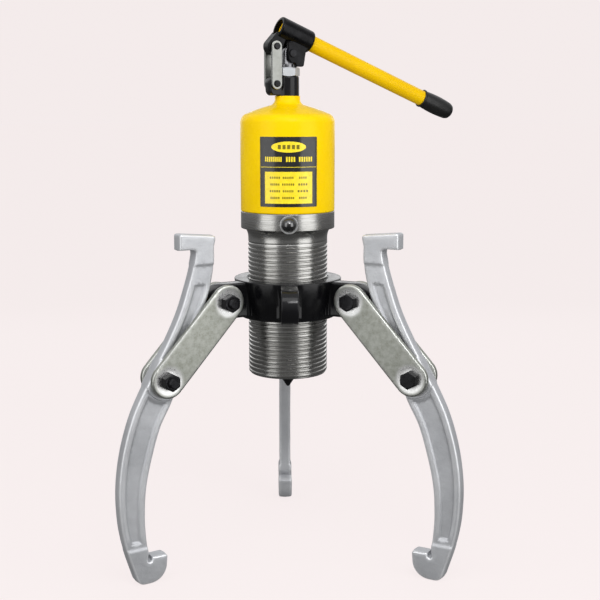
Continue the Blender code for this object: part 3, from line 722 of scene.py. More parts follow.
def forged():
    """Silver-coated forging: soft scale texture, darker sides and bright ridges, worn and with a painted
    highlight along the rounded edges.
    """
    look = Look("forged_jaw", 0.42, 0.52)
    cloud = look.blend(look.noise(16.0, detail=5.0), (0.42, 0.43, 0.45), (0.52, 0.53, 0.55))
    grain = look.noise(380.0, detail=3.0, low=0.3, high=0.7)
    grained = look.blend(look.ranged(grain, 0.0, 0.25), cloud, (0.60, 0.61, 0.63))
    # The edge mark gives the rounded edges and channel rims a pale colour: partly wear, partly a painted
    # highlight.
    look.colour(look.blend(look.ranged(look.mark("edge"), 0.0, 0.75), grained, (0.86, 0.87, 0.89)))
    look.rough(look.sum(look.ranged(grain, 0.40, 0.55), look.mark("edge"), -0.14))
    look.bump(grain, 0.05)
    look.bump(look.noise(70.0, detail=4.0), 0.18)
    return look.made


EVEN = (1.0, 1.0, 1.0)
YELLOW = painted("yellow_enamel", (0.82, 0.53, 0.0), (0.88, 0.60, 0.0), 0.26, 0.10)
TUBE_YELLOW = painted("handle_yellow", (0.72, 0.44, 0.0), (0.78, 0.50, 0.0), 0.28, 0.10)
BLACK = painted("black_enamel", (0.003, 0.003, 0.0035), (0.006, 0.006, 0.007), 0.16, 0.30)
KNOB = turned_steel("knob_black_chrome", (0.10, 0.10, 0.10), (0.14, 0.14, 0.14), 0.16, EVEN)
CASTING = oxide("black_casting", (0.003, 0.003, 0.0035), 0.26, 0.25)
THREAD_STEEL = turned_steel("thread_steel", (0.28, 0.275, 0.26), (0.50, 0.495, 0.48), 0.24)
RING = oxide("satin_ring", (0.22, 0.22, 0.22), 0.36)
BRIGHT = turned_steel("bright_steel", (0.44, 0.45, 0.47), (0.58, 0.59, 0.61), 0.22)
PLUNGER = turned_steel("plunger_steel", (0.16, 0.16, 0.17), (0.26, 0.26, 0.27), 0.24)
NUT = turned_steel("bright_nut", (0.66, 0.68, 0.70), (0.84, 0.86, 0.88), 0.34, EVEN)
OXIDE = oxide("oxide_bolt", (0.006, 0.006, 0.007), 0.28, 0.35)
ZINC = zinc("zinc_strap", 1.0)
LINK_ZINC = zinc("zinc_link", 0.55)
FORGED = forged()
GRIP = rubber("grip_vinyl", (0.006, 0.006, 0.006), 0.34)
SEAL = rubber("seal_ring", (0.02, 0.02, 0.02), 0.6)
FILM = printed("label_black", (0.012, 0.012, 0.012))
INK = printed("label_yellow", (0.80, 0.62, 0.01), 0.3)
DARK_INK = printed("label_dark_ink", (0.16, 0.13, 0.01))
WIRE = turned_steel("spring_wire", (0.22, 0.22, 0.23), (0.36, 0.36, 0.37), 0.3, EVEN)


# --- cylinder ---
def barrel():
    """Flange, concave neck and a helical thread, bored from below, with the valve's counterbore in front."""
    neck_r = THREAD_R - THREAD_DEPTH * RUNOUT
    reach = FLANGE_R - 4.0 - neck_r
    drop = FLANGE_LOW - THREAD_TOP - 3.0
    sweep = [math.radians(90.0 * k / 12) for k in range(13)]
    neck = [(neck_r + reach * (1 - math.sin(a)), FLANGE_LOW - drop * (1 - math.cos(a))) for a in sweep]
    above = [(0.0, SPIGOT_TOP), (SPIGOT_R - 1.5, SPIGOT_TOP), (SPIGOT_R, SPIGOT_TOP - 1.5)]
    edge = [(SPIGOT_R, FLANGE_TOP), (FLANGE_R, FLANGE_TOP, 1.2), (FLANGE_R, FLANGE_LOW, 1.6), neck[0]]
    above += softened(edge)[:-1] + neck
    below = [(BORE_R + 1.0, BARREL_LOW), (BORE_R, BARREL_LOW + 1.0), (BORE_R, BORE_TOP), (0.0, BORE_TOP)]
    mesh = threaded(THREAD_R, THREAD_DEPTH, THREAD_PITCH, BARREL_LOW, THREAD_TOP, above, below,
                    per_turn=12)
    seat_r = VALVE_RING_R + 0.4
    seat = [(0.0, 100.0), (seat_r, 100.0), (seat_r, VALVE_SEAT), (6.3, VALVE_SEAT), (6.3, 34.0), (0.0, 34.0)]
    seat = lathe(seat, FRONT_FRAME, 48)
    plug = lathe(drill(PLUG_R + GAP, 100.0, 52.0), BACK_FRAME, 48)
    socket = lathe(drill(PUMP_BODY_R - 3.7, 310.0, PUMP_FOOT))
    mesh = joined(mesh, [seat, plug, socket], "DIFFERENCE")
    stand_in(mesh, "cylinder_barrel", THREAD_STEEL, 30.0)


def valve():
    """Release valve: a bright rounded ring let into the flange and a black domed knob."""
    face = FLANGE_R + 4.5
    ring = [(6.6, face - 1.2), (VALVE_KNOB_R + 0.6, face - 1.2), (VALVE_KNOB_R + 0.9, face, 1.3)]
    ring += [(VALVE_RING_R, face, 1.9), (VALVE_RING_R, VALVE_SEAT), (6.6, VALVE_SEAT)]
    turned("valve_ring", softened(ring), RING, FRONT_FRAME, 64, closed=True)
    start = face + GAP
    dome = [(0.0, 86.0), *arc(0.0, start - 3.0, VALVE_KNOB_R, 80.0, 20.0, 12), (VALVE_KNOB_R, start + 0.2)]
    dome += [(VALVE_KNOB_R - 0.5, start - 0.6), (6.0, start - 0.6), (6.0, 44.0), (3.0, 40.0), (0.0, 40.0)]
    turned("release_valve", dome, KNOB, FRONT_FRAME, 64)


def oil_plug():
    """The filler plug behind, with a hexagon socket."""
    body = [(0.0, 77.5), (9.5, 77.5, 0.9), (9.5, 74.2), (PLUG_R, 74.2), (PLUG_R, 55.0), (0.0, 55.0)]
    mesh = lathe(softened(body), BACK_FRAME, 48)
    key = relief(arc(0, 0, 4.6, 0, 300, 5), slab(6.0), matrix=BACK_FRAME @ shift(z=77.0))
    stand_in(joined(mesh, [key], "DIFFERENCE"), "oil_plug", OXIDE)


def ram():
    """Ram, centre point and gland, seen from below and when the ram is out."""
    gland_low, gland_high = node_span("gland_ring")
    bore = 35.5
    gland = [(bore, gland_high), (BORE_R - GAP, gland_high), (BORE_R - GAP, gland_low, 1.2)]
    gland += [(bore + 4.0, gland_low), (bore + 3.0, gland_low + 1.4), (bore, gland_low + 1.4)]
    turned("gland_ring", softened(gland), OXIDE, closed=True)
    low, top = node_span("ram")
    rod = [(0.0, top), (46.5, top), (46.5, 217.0), (42.5, 217.0), (42.5, 207.0), (46.5, 207.0), (46.5, 196.0)]
    rod += [(35.0, 196.0), (35.0, low, 2.2), (10.3, low), (10.3, 58.0), (0.0, 58.0)]
    turned("ram", softened(rod), BRIGHT)
    shoulder = node_box("ram_tip")[1].x
    tip = [(0.0, 54.0), (10.0, 54.0), (10.0, low - GAP), (shoulder, low - GAP, 0.8)]
    tip += [(shoulder, low - 3.5, 1.0), (2.0, 0.0, 0.6), (0.0, 0.0)]
    turned("ram_tip", softened(tip), OXIDE)


# --- reservoir and label ---
def dome(inset, count):
    """Inner points of the can's dished top, a parabola from the neck's foot out to the shoulder."""
    angle = math.radians(SHOULDER_ARC)
    across, up = 1 - math.cos(angle), math.sin(angle)
    edge = Vector((FLANGE_R - SHOULDER_R * across, SHELL_SHOULDER + SHOULDER_R * up))
    top, crown = Vector(DOME_TOP), Vector(DOME_CROWN)
    shares = [i / count for i in range(1, count)]
    line = [top * (1 - t) ** 2 + crown * 2 * t * (1 - t) + edge * t * t for t in shares]
    return [(point.x, point.y - inset) for point in line]


def reservoir():
    """The enamelled can: rolled foot, straight wall, dished shoulder and a neck round the pump."""
    neck_r = 19.7
    outer = softened([(neck_r - 1.4, NECK_TOP), (neck_r, NECK_TOP - 0.4, 0.8), (neck_r, NECK_TOP - 3.5)])
    outer += arc(neck_r + NECK_FILLET, NECK_TOP - 5.0, NECK_FILLET, 180.0, 260.0, 12)
    outer += dome(0.0, 14)
    outer += arc(FLANGE_R - SHOULDER_R, SHELL_SHOULDER, SHOULDER_R, SHOULDER_ARC, 0.0, 18)
    foot = ((0.0, 2.4), (0.25, 0.9), (0.9, 0.15))
    outer += [(FLANGE_R - inset, SHELL_LOW + rise) for inset, rise in foot]
    wall = 3.0
    inner = [(FLANGE_R - wall, SHELL_LOW + 0.15)]
    inner += arc(FLANGE_R - SHOULDER_R, SHELL_SHOULDER, SHOULDER_R - wall, 0.0, SHOULDER_ARC, 6)
    inner += dome(wall, 6)[::-1]
    inner += [(PUMP_BODY_R + GAP, DOME_TOP[1] - wall), (PUMP_BODY_R + GAP, NECK_TOP - 0.3)]
    turned("reservoir_shell", outer + inner, YELLOW, segments=160, closed=True)


def wrapped(points):
    """Lays a flat drawing, x across and y up, round the can's front."""
    angle = points[:, 0] / FLANGE_R
    radius = FLANGE_R + points[:, 2]
    return np.column_stack([radius * np.sin(angle), -radius * np.cos(angle), points[:, 1]])


def patch(shapes, low, high):
    """Thin printed shapes on the can's wall, from low to high above it, as one mesh."""
    return gathered([
        relief(outline, lambda x, y, d: high, lambda x, y, d: low, pitch=2.5, wrap=wrapped)
        for outline in shapes
    ])


def rounded(x, y, width, height, r, steps=4):
    w, h = width / 2, height / 2
    return softened([(x - w, y - h, r), (x + w, y - h, r), (x + w, y + h, r), (x - w, y + h, r)], True, steps)


def bar(x, y, width, height):
    """An upright rectangle with small round corners, by its centre and its two sizes."""
    return rounded(x, y, width, height, min(width / 2, height / 2, 1.2) * 0.35, 2)


def word(x, y, width, height, count):
    """A run of short upright blocks that stands for a printed word."""
    pitch = width / count
    return [bar(x + pitch * (k + 0.5 - count / 2), y, pitch * 0.66, height) for k in range(count)]


def label():
    """A black plate with an oval badge, a caption, a rule and a panel of rows, all made of plain blocks."""
    height = LABEL_TOP - LABEL_LOW
    width = 2 * FLANGE_R * math.radians(35.3)
    plate = rounded(0.0, (LABEL_LOW + LABEL_TOP) / 2, width, height, 1.2)
    stand_in(patch([plate], 0.05, 0.45), "label_plate", FILM)
    badge = LABEL_TOP - 0.144 * height
    caption = LABEL_TOP - 0.318 * height
    rule = LABEL_TOP - 0.43 * height
    panel = LABEL_TOP - 0.724 * height
    oval = [(26.5 * math.cos(a), badge + 8.2 * math.sin(a)) for a in np.arange(48) * 2 * math.pi / 48]
    yellow = [oval, bar(0.0, rule, width - 3.0, 0.7), bar(0.0, panel, 74.0, 0.456 * height)]
    for x, long, count in ((-23.5, 27.0, 9), (2.8, 15.0, 4), (26.0, 22.5, 6)):
        yellow += word(x, caption, long, 7.4, count)
    piece(patch(yellow, 0.4, 0.55), "label_print", INK, "cylinder")
    rows = [panel + 10.1 * k for k in (1.5, 0.5, -0.5, -1.5)]
    dark = word(0.0, badge, 35.0, 6.4, 5)
    for k, y in enumerate(rows):
        dark += word(-21.0, y, 17.0 - 2.0 * (k % 2), 3.3, 5) + word(-1.0, y, 17.0 + 2.0 * (k % 2), 3.3, 6)
        dark += word(21.5, y, 13.0 + 2.5 * (k % 3), 3.3, 4)
    piece(patch(dark, 0.5, 0.62), "label_bars", DARK_INK, "cylinder")


# --- collar ---
def collar():
    """The nut on the barrel's thread: a tapered ring, its four lugs swept into it by a cast fillet."""
    ring = [(COLLAR_BORE_R + 2.5, COLLAR_TOP), (COLLAR_TOP_R, COLLAR_TOP, 1.8)]
    ring += [(COLLAR_LOW_R, COLLAR_LOW, 3.2), (COLLAR_BORE_R + 2.5, COLLAR_LOW)]
    ring += [(COLLAR_BORE_R, COLLAR_LOW + 2.5), (COLLAR_BORE_R, COLLAR_TOP - 2.5)]
    body = lathe(softened(ring, True), segments=144, closed=True)
    root = COLLAR_LOW_R - 5.0
    fillet = 6.0
    start = COLLAR_LOW_R + 1.0

    def side(x, y, d):
        rise = np.clip(fillet - (x - start), 0.0, fillet)
        flare = fillet - np.sqrt(np.maximum(fillet**2 - rise**2, 0.0))
        return LUG_THICK / 2 + np.where(x < start, fillet, flare) - edge_drop(d, 1.8)

    outline = arc(*UPPER_PIVOT, STRAP_HALF_WIDTH, -90.0, 90.0, 36)
    low = UPPER_PIVOT[1] - STRAP_HALF_WIDTH
    high = UPPER_PIVOT[1] + STRAP_HALF_WIDTH
    outline += [(95.0, high), (86.0, high), (root, high), (root, low), (86.0, low), (95.0, low)]
    columns = [(start + k * 1.2, low + 2.0 + 2.0 * m) for k in range(7) for m in range(26)]
    lugs = [
        relief(outline, side, holes=[circle(*UPPER_PIVOT, HOLE_R)], rings=rounding(1.8, 3), pitch=2.6,
               extra=columns, matrix=arm_frame(azimuth))
        for azimuth in (*ARMS.values(), SPARE_LUG)
    ]
    stand_in(joined(body, lugs, "UNION"), "jaw_collar", BLACK, 42.0)


# --- arms ---
def jaw_edges():
    """The arm's outer and inner edges, from the upper hook to the lower."""
    line = np.array(smooth_line(JAW_SPINE, 8))
    along = np.gradient(line[:, :2], axis=0)
    along /= np.linalg.norm(along, axis=1)[:, None]
    away = np.stack([-along[:, 1], along[:, 0]], axis=1) * line[:, 2:] / 2
    return [tuple(p) for p in line[:, :2] + away], [tuple(p) for p in line[:, :2] - away]


def jaw_outline():
    """The whole jaw in its plane: arm, lower hook and the outward hook on top."""
    outer, inner = jaw_edges()
    heel = arc(262.0, JAW_FLOOR + 14.0, 14.0, -15.0, -90.0, 8)
    toe = arc(252.0, JAW_FLOOR + 27.0, 27.0, -90.0, -175.0, 14)
    nose = arc(229.0, HOOK_FACE - 5.0, 5.0, 170.0, 90.0, 6)
    throat = arc(253.5, HOOK_FACE - 3.0, 4.0, 180.0, 350.0, 9)
    lower = heel + toe + nose + [(249.5, HOOK_FACE)] + throat
    top = softened([(136.5, 236.0), (134.0, 246.0), (134.3, 252.5, 4.5), (193.5, 258.0, 4.5)]
                   + [(193.5, TOP_HOOK_FACE, 1.0), (172.0, TOP_HOOK_FACE)])
    top += arc(172.0, TOP_HOOK_FACE - 5.0, 5.0, 110.0, 175.0, 5)[1:]
    return outer[2:] + lower + inner[::-1][:-2] + top


def jaw(name, frame_of_arm):
    """A forging with rounded edges, two channels between its rims, a boss and thicker hook heads."""
    edge_r = 3.2
    rim = 8.6
    channel = 3.6
    boss_r = 31.0

    def face(x, y, d):
        gap = gap_to(x, y, LOWER_PIVOT)
        wave = 0.10 * np.sin(0.21 * x + 0.6) * np.sin(0.17 * y + 1.1)
        level = JAW_THICK / 2 + step(gap, boss_r + 1.5, boss_r) * (LUG_THICK - JAW_THICK) / 2
        level = level + (HOOK_THICK - JAW_THICK) / 2 * (step(y, 207.0, 211.0) + step(y, -215.5, -220.5))
        depth = np.min([d - rim, gap - boss_r - 4.0, 180.0 - y, y - HOOK_FACE - 24.0], axis=0)
        level = level - channel * step(depth, 0.0, 3.4)
        return level + wave * step(gap, boss_r, boss_r + 12.0) - edge_drop(d, edge_r)

    # Bands along the rounded edges and the channels' inner rims, for the forging's wear and for a painted
    # highlight there.
    def worn_and_highlit(x, y, d):
        lip = np.exp(-(((d - 1.4) / 1.3) ** 2))
        inner_lip = 0.8 * np.exp(-(((d - rim + 0.4) / 0.9) ** 2)) * step(y, -205.0, -195.0)
        inner_lip = inner_lip * step(y, 185.0, 170.0)
        clear = step(gap_to(x, y, LOWER_PIVOT), boss_r + 2.0, boss_r + 8.0)
        return np.clip(lip + inner_lip * clear, 0.0, 1.0)

    extra = []
    for radius in (boss_r, boss_r + 0.75, boss_r + 1.5, boss_r + 4.0, boss_r + 5.7, boss_r + 7.4):
        extra += circle(*LOWER_PIVOT, radius, 72)
    for line in (207.0, 209.0, 211.0, 180.0, 178.3, 176.6, -215.5, -217.2, -218.8, -220.5,
                 HOOK_FACE + 24.0, HOOK_FACE + 25.7, HOOK_FACE + 27.4):
        extra += [(130.0 + 2.5 * k, line) for k in range(70)]
    rings = [*rounding(edge_r), rim, rim + 1.1, rim + 2.3, rim + 3.4]
    mesh = relief(jaw_outline(), face, holes=[circle(*LOWER_PIVOT, HOLE_R)], extra=extra, pitch=3.6,
                  rings=rings, belly=0.7, matrix=frame_of_arm, marks={"edge": worn_and_highlit})
    stand_in(mesh, f"jaw_{name}", FORGED, 50.0)


def strap(node, frame_of_arm, offset):
    """A plate with rounded edges, ground in a shallow dish round each bolt."""
    edge_r = 2.6
    pivots = (UPPER_PIVOT, LOWER_PIVOT)

    def side(x, y, d, dish):
        gap = gap_to(x, y, *pivots)
        return STRAP_THICK / 2 - edge_drop(d, edge_r) * step(gap, 12.0, 13.0) - dish * step(gap, 25.5, 14.0)

    # Bands along the rounded edges, for wear and for a painted highlight.
    def worn_and_highlit(x, y, d):
        return np.exp(-(((d - 1.2) / 1.2) ** 2)) * step(gap_to(x, y, *pivots), 12.0, 14.0)

    # The ground dish round each bolt, painted lighter in zinc(): bare steel and a painted highlight.
    def ground(x, y, d):
        return step(gap_to(x, y, *pivots), 25.0, 19.0)

    circles = [point for pivot in pivots for radius in (11.0, 13.0, 15.0, 17.5, 20.0, 22.5, 25.5)
               for point in circle(*pivot, radius, 64)]
    top, bottom = (DISH, 0.0) if offset > 0 else (0.0, DISH)
    mesh = relief(stadium(*pivots, STRAP_HALF_WIDTH, 40), lambda x, y, d: side(x, y, d, top),
                  lambda x, y, d: -side(x, y, d, bottom), holes=[circle(*pivot, HOLE_R) for pivot in pivots],
                  rings=rounding(edge_r), extra=circles, pitch=3.6, belly=0.2,
                  matrix=frame_of_arm @ shift(z=offset), marks={"edge": worn_and_highlit, "ground": ground})
    stand_in(mesh, node, ZINC, 45.0)


def hexagon(height, hole, matrix, both=True):
    """A hexagon with its corners chamfered to a cone, on one end or on both."""
    corner = HEX_FLATS / math.sqrt(3.0)
    land = HEX_FLATS / 2 - 0.3
    rings = [p for r in (land - 2.5, land, (land + corner) / 2) for p in circle(0, 0, r, 48)]
    outline = arc(0, 0, corner, 30.0, 330.0, 5)
    holes = [circle(0, 0, hole, 32)] if hole else []
    foot = coned(height, land, 0.55 if both else 0.165)
    return relief(outline, coned(height, land, 0.55), lambda x, y, d: -foot(x, y, d), holes=holes,
                  pitch=1.3, extra=rings, matrix=matrix)


def bolt(name, pivot, frame_of_arm):
    """A hexagon bolt and nut; the thread shows past the nut."""
    sideways = frame_of_arm @ shift(*pivot, 0.0)
    head = STRAP_OUT - DISH + (HEAD_HEIGHT + DISH) / 2
    end = STRAP_OUT + GAP + NUT_HEIGHT + 6.0
    head_mesh = hexagon(HEAD_HEIGHT + DISH, 0.0, sideways @ shift(z=head), both=False)
    shank_end = -(STRAP_OUT - 4.0)
    above = [(0.0, STRAP_OUT + 3.0), (BOLT_R, STRAP_OUT + 3.0), (BOLT_R, shank_end + 1.0)]
    shank = threaded(BOLT_R, 1.1, 2.5, -end, shank_end, above, [(0.0, -end)], 40, 8, sideways)
    stand_in(joined(shank, [head_mesh], "UNION"), f"{name}_bolt", OXIDE)
    nut = -(STRAP_OUT - DISH + (NUT_HEIGHT + DISH) / 2)
    mesh = hexagon(NUT_HEIGHT + DISH, BOLT_R + 0.25, sideways @ shift(z=nut))
    stand_in(mesh, f"{name}_nut", OXIDE)


def arms():
    for name, azimuth in ARMS.items():
        here = arm_frame(azimuth)
        strap(f"strap_{name}_a", here, STRAP_MID)
        strap(f"strap_{name}_b", here, -STRAP_MID)
        jaw(name, here)
        bolt(f"upper_{name}", UPPER_PIVOT, here)
        bolt(f"lower_{name}", LOWER_PIVOT, here)


# --- pump ---
def pump_body():
    """The pump's barrel, turned on its outside, with the cast lug that carries the links."""
    foot = PUMP_FOOT + GAP
    body = [(11.0, PUMP_BODY_TOP), (PUMP_BODY_R, PUMP_BODY_TOP, 2.0), (PUMP_BODY_R, SPIGOT_TOP + GAP)]
    body += [(PUMP_BODY_R - 4.0, SPIGOT_TOP + GAP), (PUMP_BODY_R - 4.0, foot), (6.0, foot), (6.0, 400.0)]
    body += [(11.0, 404.0)]
    mesh = lathe(softened(body, True), segments=72, closed=True)
    lug = [(-13.0, NECK_TOP + 0.5), (-25.0, NECK_TOP + 0.5), *arc(LINK_R, 470.0, 9.0, 250.0, 180.0, 8)]
    lug += [*arc(LINK_R, 480.5, 10.0, 180.0, 90.0, 10), (-13.0, 490.0)]
    hole = [circle(LINK_R, LINK_LOW, LINK_HOLE_R, 32)]
    ear = relief(lug, slab(EAR_THICK, 1.6), holes=hole, rings=rounding(1.6, 3), pitch=2.0,
                 matrix=PUMP_FRAME)
    stand_in(joined(mesh, [ear], "UNION"), "pump_body", BLACK)


def gland():
    """The bright hexagon nut that the plunger slides in."""
    corner = 19.4
    land = corner * math.cos(math.radians(30.0)) - 0.2
    height = GLAND_TOP - GLAND_LOW
    circles = [p for r in (13.0, land, land + 1.3) for p in circle(0, 0, r, 60)]
    place = shift(z=(GLAND_TOP + GLAND_LOW) / 2) @ turn(GLAND_TURN, "Z")
    mesh = relief(arc(0, 0, corner, 0, 300, 5), coned(height, land, 0.6), holes=[circle(0, 0, 11.0)],
                  pitch=1.6, extra=circles, matrix=place)
    stand_in(mesh, "gland_nut", NUT)


def plunger():
    """The plunger's polished rod with its flat eye."""
    top = 509.6
    rod = softened([(0.0, top), (PLUNGER_R, top, 1.0), (PLUNGER_R, 420.0, 1.0), (0.0, 420.0)])
    rod = lathe(rod, None, 64)
    eye = [(-8.0, 506.0), (8.0, 506.0), *arc(*PLUNGER_PIN, PLUNGER_EYE_R, -30.0, 190.0, 30)]
    hole = [circle(*PLUNGER_PIN, LINK_HOLE_R, 32)]
    tab = relief(eye, slab(13.0, 0.9), holes=hole, rings=rounding(0.9, 2), pitch=1.8,
                 matrix=PUMP_FRAME)
    stand_in(joined(rod, [tab], "UNION"), "plunger", PLUNGER)


def links_and_pins():
    """Two flat links, and pins with domed rivet heads."""
    outline = stadium((LINK_R, LINK_LOW), (LINK_R, LINK_HIGH), LINK_HALF_WIDTH, 20)
    holes = [circle(LINK_R, z, LINK_HOLE_R, 32) for z in (LINK_LOW, LINK_HIGH)]
    # The edge mark lightens the links' rounded edges, for wear and as a painted highlight.
    marks = {"edge": lambda x, y, d: np.exp(-((d / 0.9) ** 2)), "ground": lambda x, y, d: 0.3 + 0.0 * x}
    for side, offset in (("near", LINK_MID), ("far", -LINK_MID)):
        mesh = relief(outline, slab(LINK_THICK, 0.9), holes=holes, pitch=2.2, rings=rounding(0.9, 3),
                      matrix=PUMP_FRAME @ shift(z=offset), marks=marks)
        stand_in(mesh, f"pump_link_{side}", LINK_ZINC)
    reach = LINK_MID + LINK_THICK / 2 + GAP
    for node, centre, out, head in (
        ("link_pin_lower", (LINK_R, LINK_LOW), reach, 5.2),
        ("link_pin_upper", (LINK_R, LINK_HIGH), reach, 5.2),
        ("plunger_pin", PLUNGER_PIN, CHEEK_MID + CHEEK_THICK / 2 + GAP, 6.2),
    ):
        dome = [(0.0, out + 2.6), *arc(0.0, out - 0.4, head, 60.0, 12.0, 6), (head, out + 0.5), (head, out)]
        dome = [(min(r, head), min(z, out + 2.6)) for r, z in dome] + [(LINK_PIN_R, out)]
        profile = dome + [(r, -z) for r, z in reversed(dome)]
        turned(node, profile, OXIDE, PUMP_FRAME @ shift(*centre, 0.0), 40)


def lever_head():
    """The cast head: socket, rear ear and two cheeks melted together, then bored."""
    shell = [(0.0, SOCKET_FRONT), (SOCKET_R, SOCKET_FRONT, 4.0), (SOCKET_R, SOCKET_BACK, 2.5)]
    shell += [(0.0, SOCKET_BACK)]
    parts = [lathe(softened(shell), HANDLE_FRAME, 72)]
    ear = [*arc(LINK_R, LINK_HIGH, 12.5, 150.0, 330.0, 20), (-6.0, 548.0), (-6.0, 554.0), (-21.0, 557.0)]
    parts.append(relief(ear, slab(EAR_THICK), pitch=3.0, matrix=PUMP_FRAME))
    cheek = [(-4.5, 542.0), (-4.5, 521.0), (-3.4, 515.7), (1.5, 510.6), (7.6, 510.2), (10.4, 505.2)]
    cheek += [(20.0, 505.0), (22.5, 507.0), (25.5, 526.0), (30.0, 534.0), (36.0, 540.0)]
    for side in (-CHEEK_MID, CHEEK_MID):
        parts.append(relief(cheek, slab(CHEEK_THICK), pitch=3.0, matrix=PUMP_FRAME @ shift(z=side)))
    body = cast(parts, 0.65, 6)
    tools = [lathe(drill(TUBE_R + GAP, SOCKET_FRONT + 9.0, SOCKET_BACK - 9.0), HANDLE_FRAME, 64)]
    for centre, radius in (((LINK_R, LINK_HIGH), LINK_HOLE_R), (PLUNGER_PIN, CHEEK_HOLE_R)):
        tools.append(lathe(drill(radius, 20.0, -20.0), PUMP_FRAME @ shift(*centre, 0.0), 40))
    stand_in(joined(body, tools, "DIFFERENCE"), "lever_head", CASTING, 50.0)


def handle():
    """The yellow tube and its moulded grip."""
    end = GRIP_END - 8.0
    inner = TUBE_R - 2.5
    wall = [(inner, end), (TUBE_R, end, 0.6), (TUBE_R, TUBE_BACK, 0.8), (inner, TUBE_BACK, 0.5)]
    turned("handle_tube", softened(wall, True), TUBE_YELLOW, HANDLE_FRAME, 72, closed=True)
    shares = [k / 14 for k in range(15)]
    bulge = [(GRIP_R - 0.9 + 1.5 * math.sin(math.pi * t) ** 0.8, end - 51.0 * t) for t in shares]
    nose = [(0.0, GRIP_END), (5.0, GRIP_END - 0.2), (9.0, GRIP_END - 1.4), (12.0, GRIP_END - 4.0)]
    foot = [(GRIP_R + 0.3, GRIP_START + 2.6), (GRIP_R + 0.3, GRIP_START + 0.8), (GRIP_R - 0.6, GRIP_START)]
    inside = [(TUBE_R + GAP, GRIP_START), (TUBE_R + GAP, GRIP_END - 7.0), (0.0, GRIP_END - 7.0)]
    turned("handle_grip", nose + bulge + foot + inside, GRIP, HANDLE_FRAME, 72)


# --- nodes shown as they are ---
def dress(node, look):
    """A new material on a CAD node that keeps its own shape."""
    thing = frame["nodes"][node]
    if not thing.material_slots:
        thing.data.materials.append(look)
    for slot in thing.material_slots:
        slot.material = look


# --- stage ---
PALE = (0.905, 0.835, 0.832)  # the one tone that floor and surroundings show to the camera


def stage():
    """A wide pale floor in the same tone as the surroundings."""
    size = 60.0
    level = JAW_FLOOR * MM - 0.0005
    corners = [(-size, -size, level), (size, -size, level), (size, size, level), (-size, size, level)]
    mesh = bpy.data.meshes.new("floor")
    mesh.from_pydata(corners, [], [(0, 1, 2, 3)])
    floor = linked("floor", mesh)
    lit = (*(tone - 0.044 for tone in PALE), 1.0)
    look = Look("pale_floor", 1.0, Base_Color=(0.08, 0.078, 0.078, 1.0), Specular_IOR_Level=0.0,
                Emission_Color=lit, Emission_Strength=1.0)
    mesh.materials.append(look.made)
    floor.visible_glossy = False
    floor.visible_diffuse = False


def softbox(name, azimuth, elevation, distance, width, height, radiance):
    """A soft rectangular lamp aimed at the tool; azimuth 0 is in front, positive to the right."""
    a, e = math.radians(azimuth), math.radians(elevation)
    aim = Vector((0.0, 0.0, 0.16))
    away = Vector((math.sin(a) * math.cos(e), -math.cos(a) * math.cos(e), math.sin(e)))
    lamp = bpy.data.lights.new(name, "AREA")
    lamp.shape = "RECTANGLE"
    lamp.size = width
    lamp.size_y = height
    lamp.energy = radiance * math.pi * width * height
    thing = linked(name, lamp)
    thing.location = aim + away * distance
    thing.rotation_euler = away.to_track_quat("Z", "Y").to_euler()
    thing.visible_camera = False


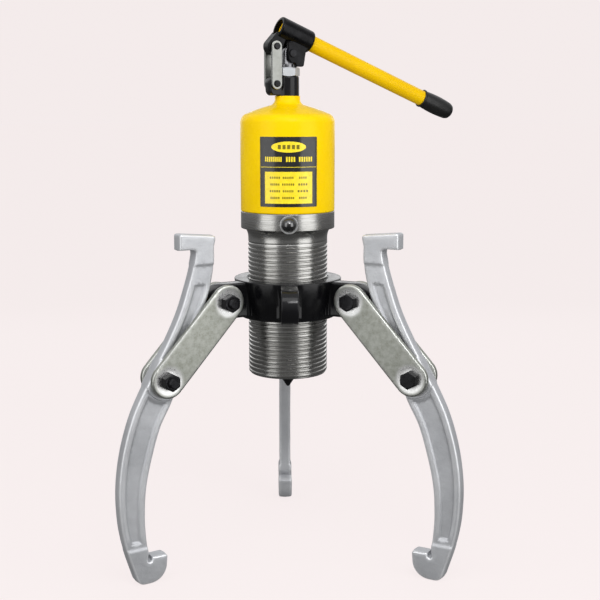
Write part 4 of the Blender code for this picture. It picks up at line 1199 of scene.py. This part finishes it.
def surroundings():
    """Pale where the camera looks past the tool; a dim room with a brighter ceiling for its reflections."""
    world = bpy.data.worlds.new("studio")
    bpy.context.scene.world = world
    world.use_nodes = True
    tree = world.node_tree
    tree.nodes.clear()
    where = add_node(tree, "ShaderNodeTexCoord", {})
    split = add_node(tree, "ShaderNodeSeparateXYZ", {"Vector": where.outputs["Generated"]})
    height = add_node(tree, "ShaderNodeMapRange", {"From Min": -1.0, "Value": split.outputs["Z"]})
    ramp = add_node(tree, "ShaderNodeValToRGB", {"Fac": height.outputs["Result"]})
    dark, light = ramp.color_ramp.elements
    dark.color, light.color = (0.10, 0.10, 0.10, 1.0), (0.85, 0.85, 0.87, 1.0)
    dark.position = 0.35
    ray = add_node(tree, "ShaderNodeLightPath", {})
    room = add_node(tree, "ShaderNodeBackground", {"Color": ramp.outputs["Color"]})
    fill = add_node(tree, "ShaderNodeBackground", {"Color": (1.0, 0.99, 0.98, 1.0), "Strength": 0.55})
    pale = add_node(tree, "ShaderNodeBackground", {"Color": (*PALE, 1.0)})
    shaders = {0: ray.outputs["Is Diffuse Ray"], 1: room.outputs[0], 2: fill.outputs[0]}
    lit = add_node(tree, "ShaderNodeMixShader", shaders)
    shaders = {0: ray.outputs["Is Camera Ray"], 1: lit.outputs[0], 2: pale.outputs[0]}
    seen = add_node(tree, "ShaderNodeMixShader", shaders)
    add_node(tree, "ShaderNodeOutputWorld", {"Surface": seen.outputs[0]})


def camera():
    """An eye level with the can's shoulder, under two metres in front, that looks down by ten degrees."""
    lens = bpy.data.cameras.new("camera")
    lens.sensor_width = 36.0
    lens.lens = 66.95
    lens.clip_end = 200.0
    thing = linked("camera", lens)
    thing.location = (-0.0401, -1.7560, 0.4400)
    thing.rotation_euler = (math.radians(80.32), 0.0, math.radians(-1.94))
    bpy.context.scene.camera = thing


bpy.context.scene.view_settings.view_transform = "Standard"
camera()
surroundings()
stage()
for lamp_name, lamp_values in {  # azimuth, elevation, distance, width, height and radiance
    "right_box": (49.0, 12.0, 1.7, 1.2, 1.85, 2.0),
    "left_box": (-50.0, 12.0, 1.7, 1.1, 1.85, 1.5),
    "top_box": (0.0, 55.0, 1.7, 1.3, 0.7, 2.2),
    "key_box": (10.0, 38.0, 1.6, 0.5, 0.22, 14.0),
    "back_wall": (180.0, 12.0, 2.2, 3.2, 0.6, 1.0),
    "back_right_box": (140.0, 30.0, 2.0, 0.9, 1.3, 0.5),
    "back_left_box": (-140.0, 30.0, 2.0, 0.9, 1.3, 0.5),
}.items():
    softbox(lamp_name, *lamp_values)

barrel()
valve()
oil_plug()
ram()
reservoir()
label()
collar()
arms()
pump_body()
gland()
plunger()
links_and_pins()
lever_head()
handle()
for plain_node, plain_look in (("piston_seal", SEAL), ("reservoir_seal", SEAL), ("return_spring", WIRE)):
    dress(plain_node, plain_look)
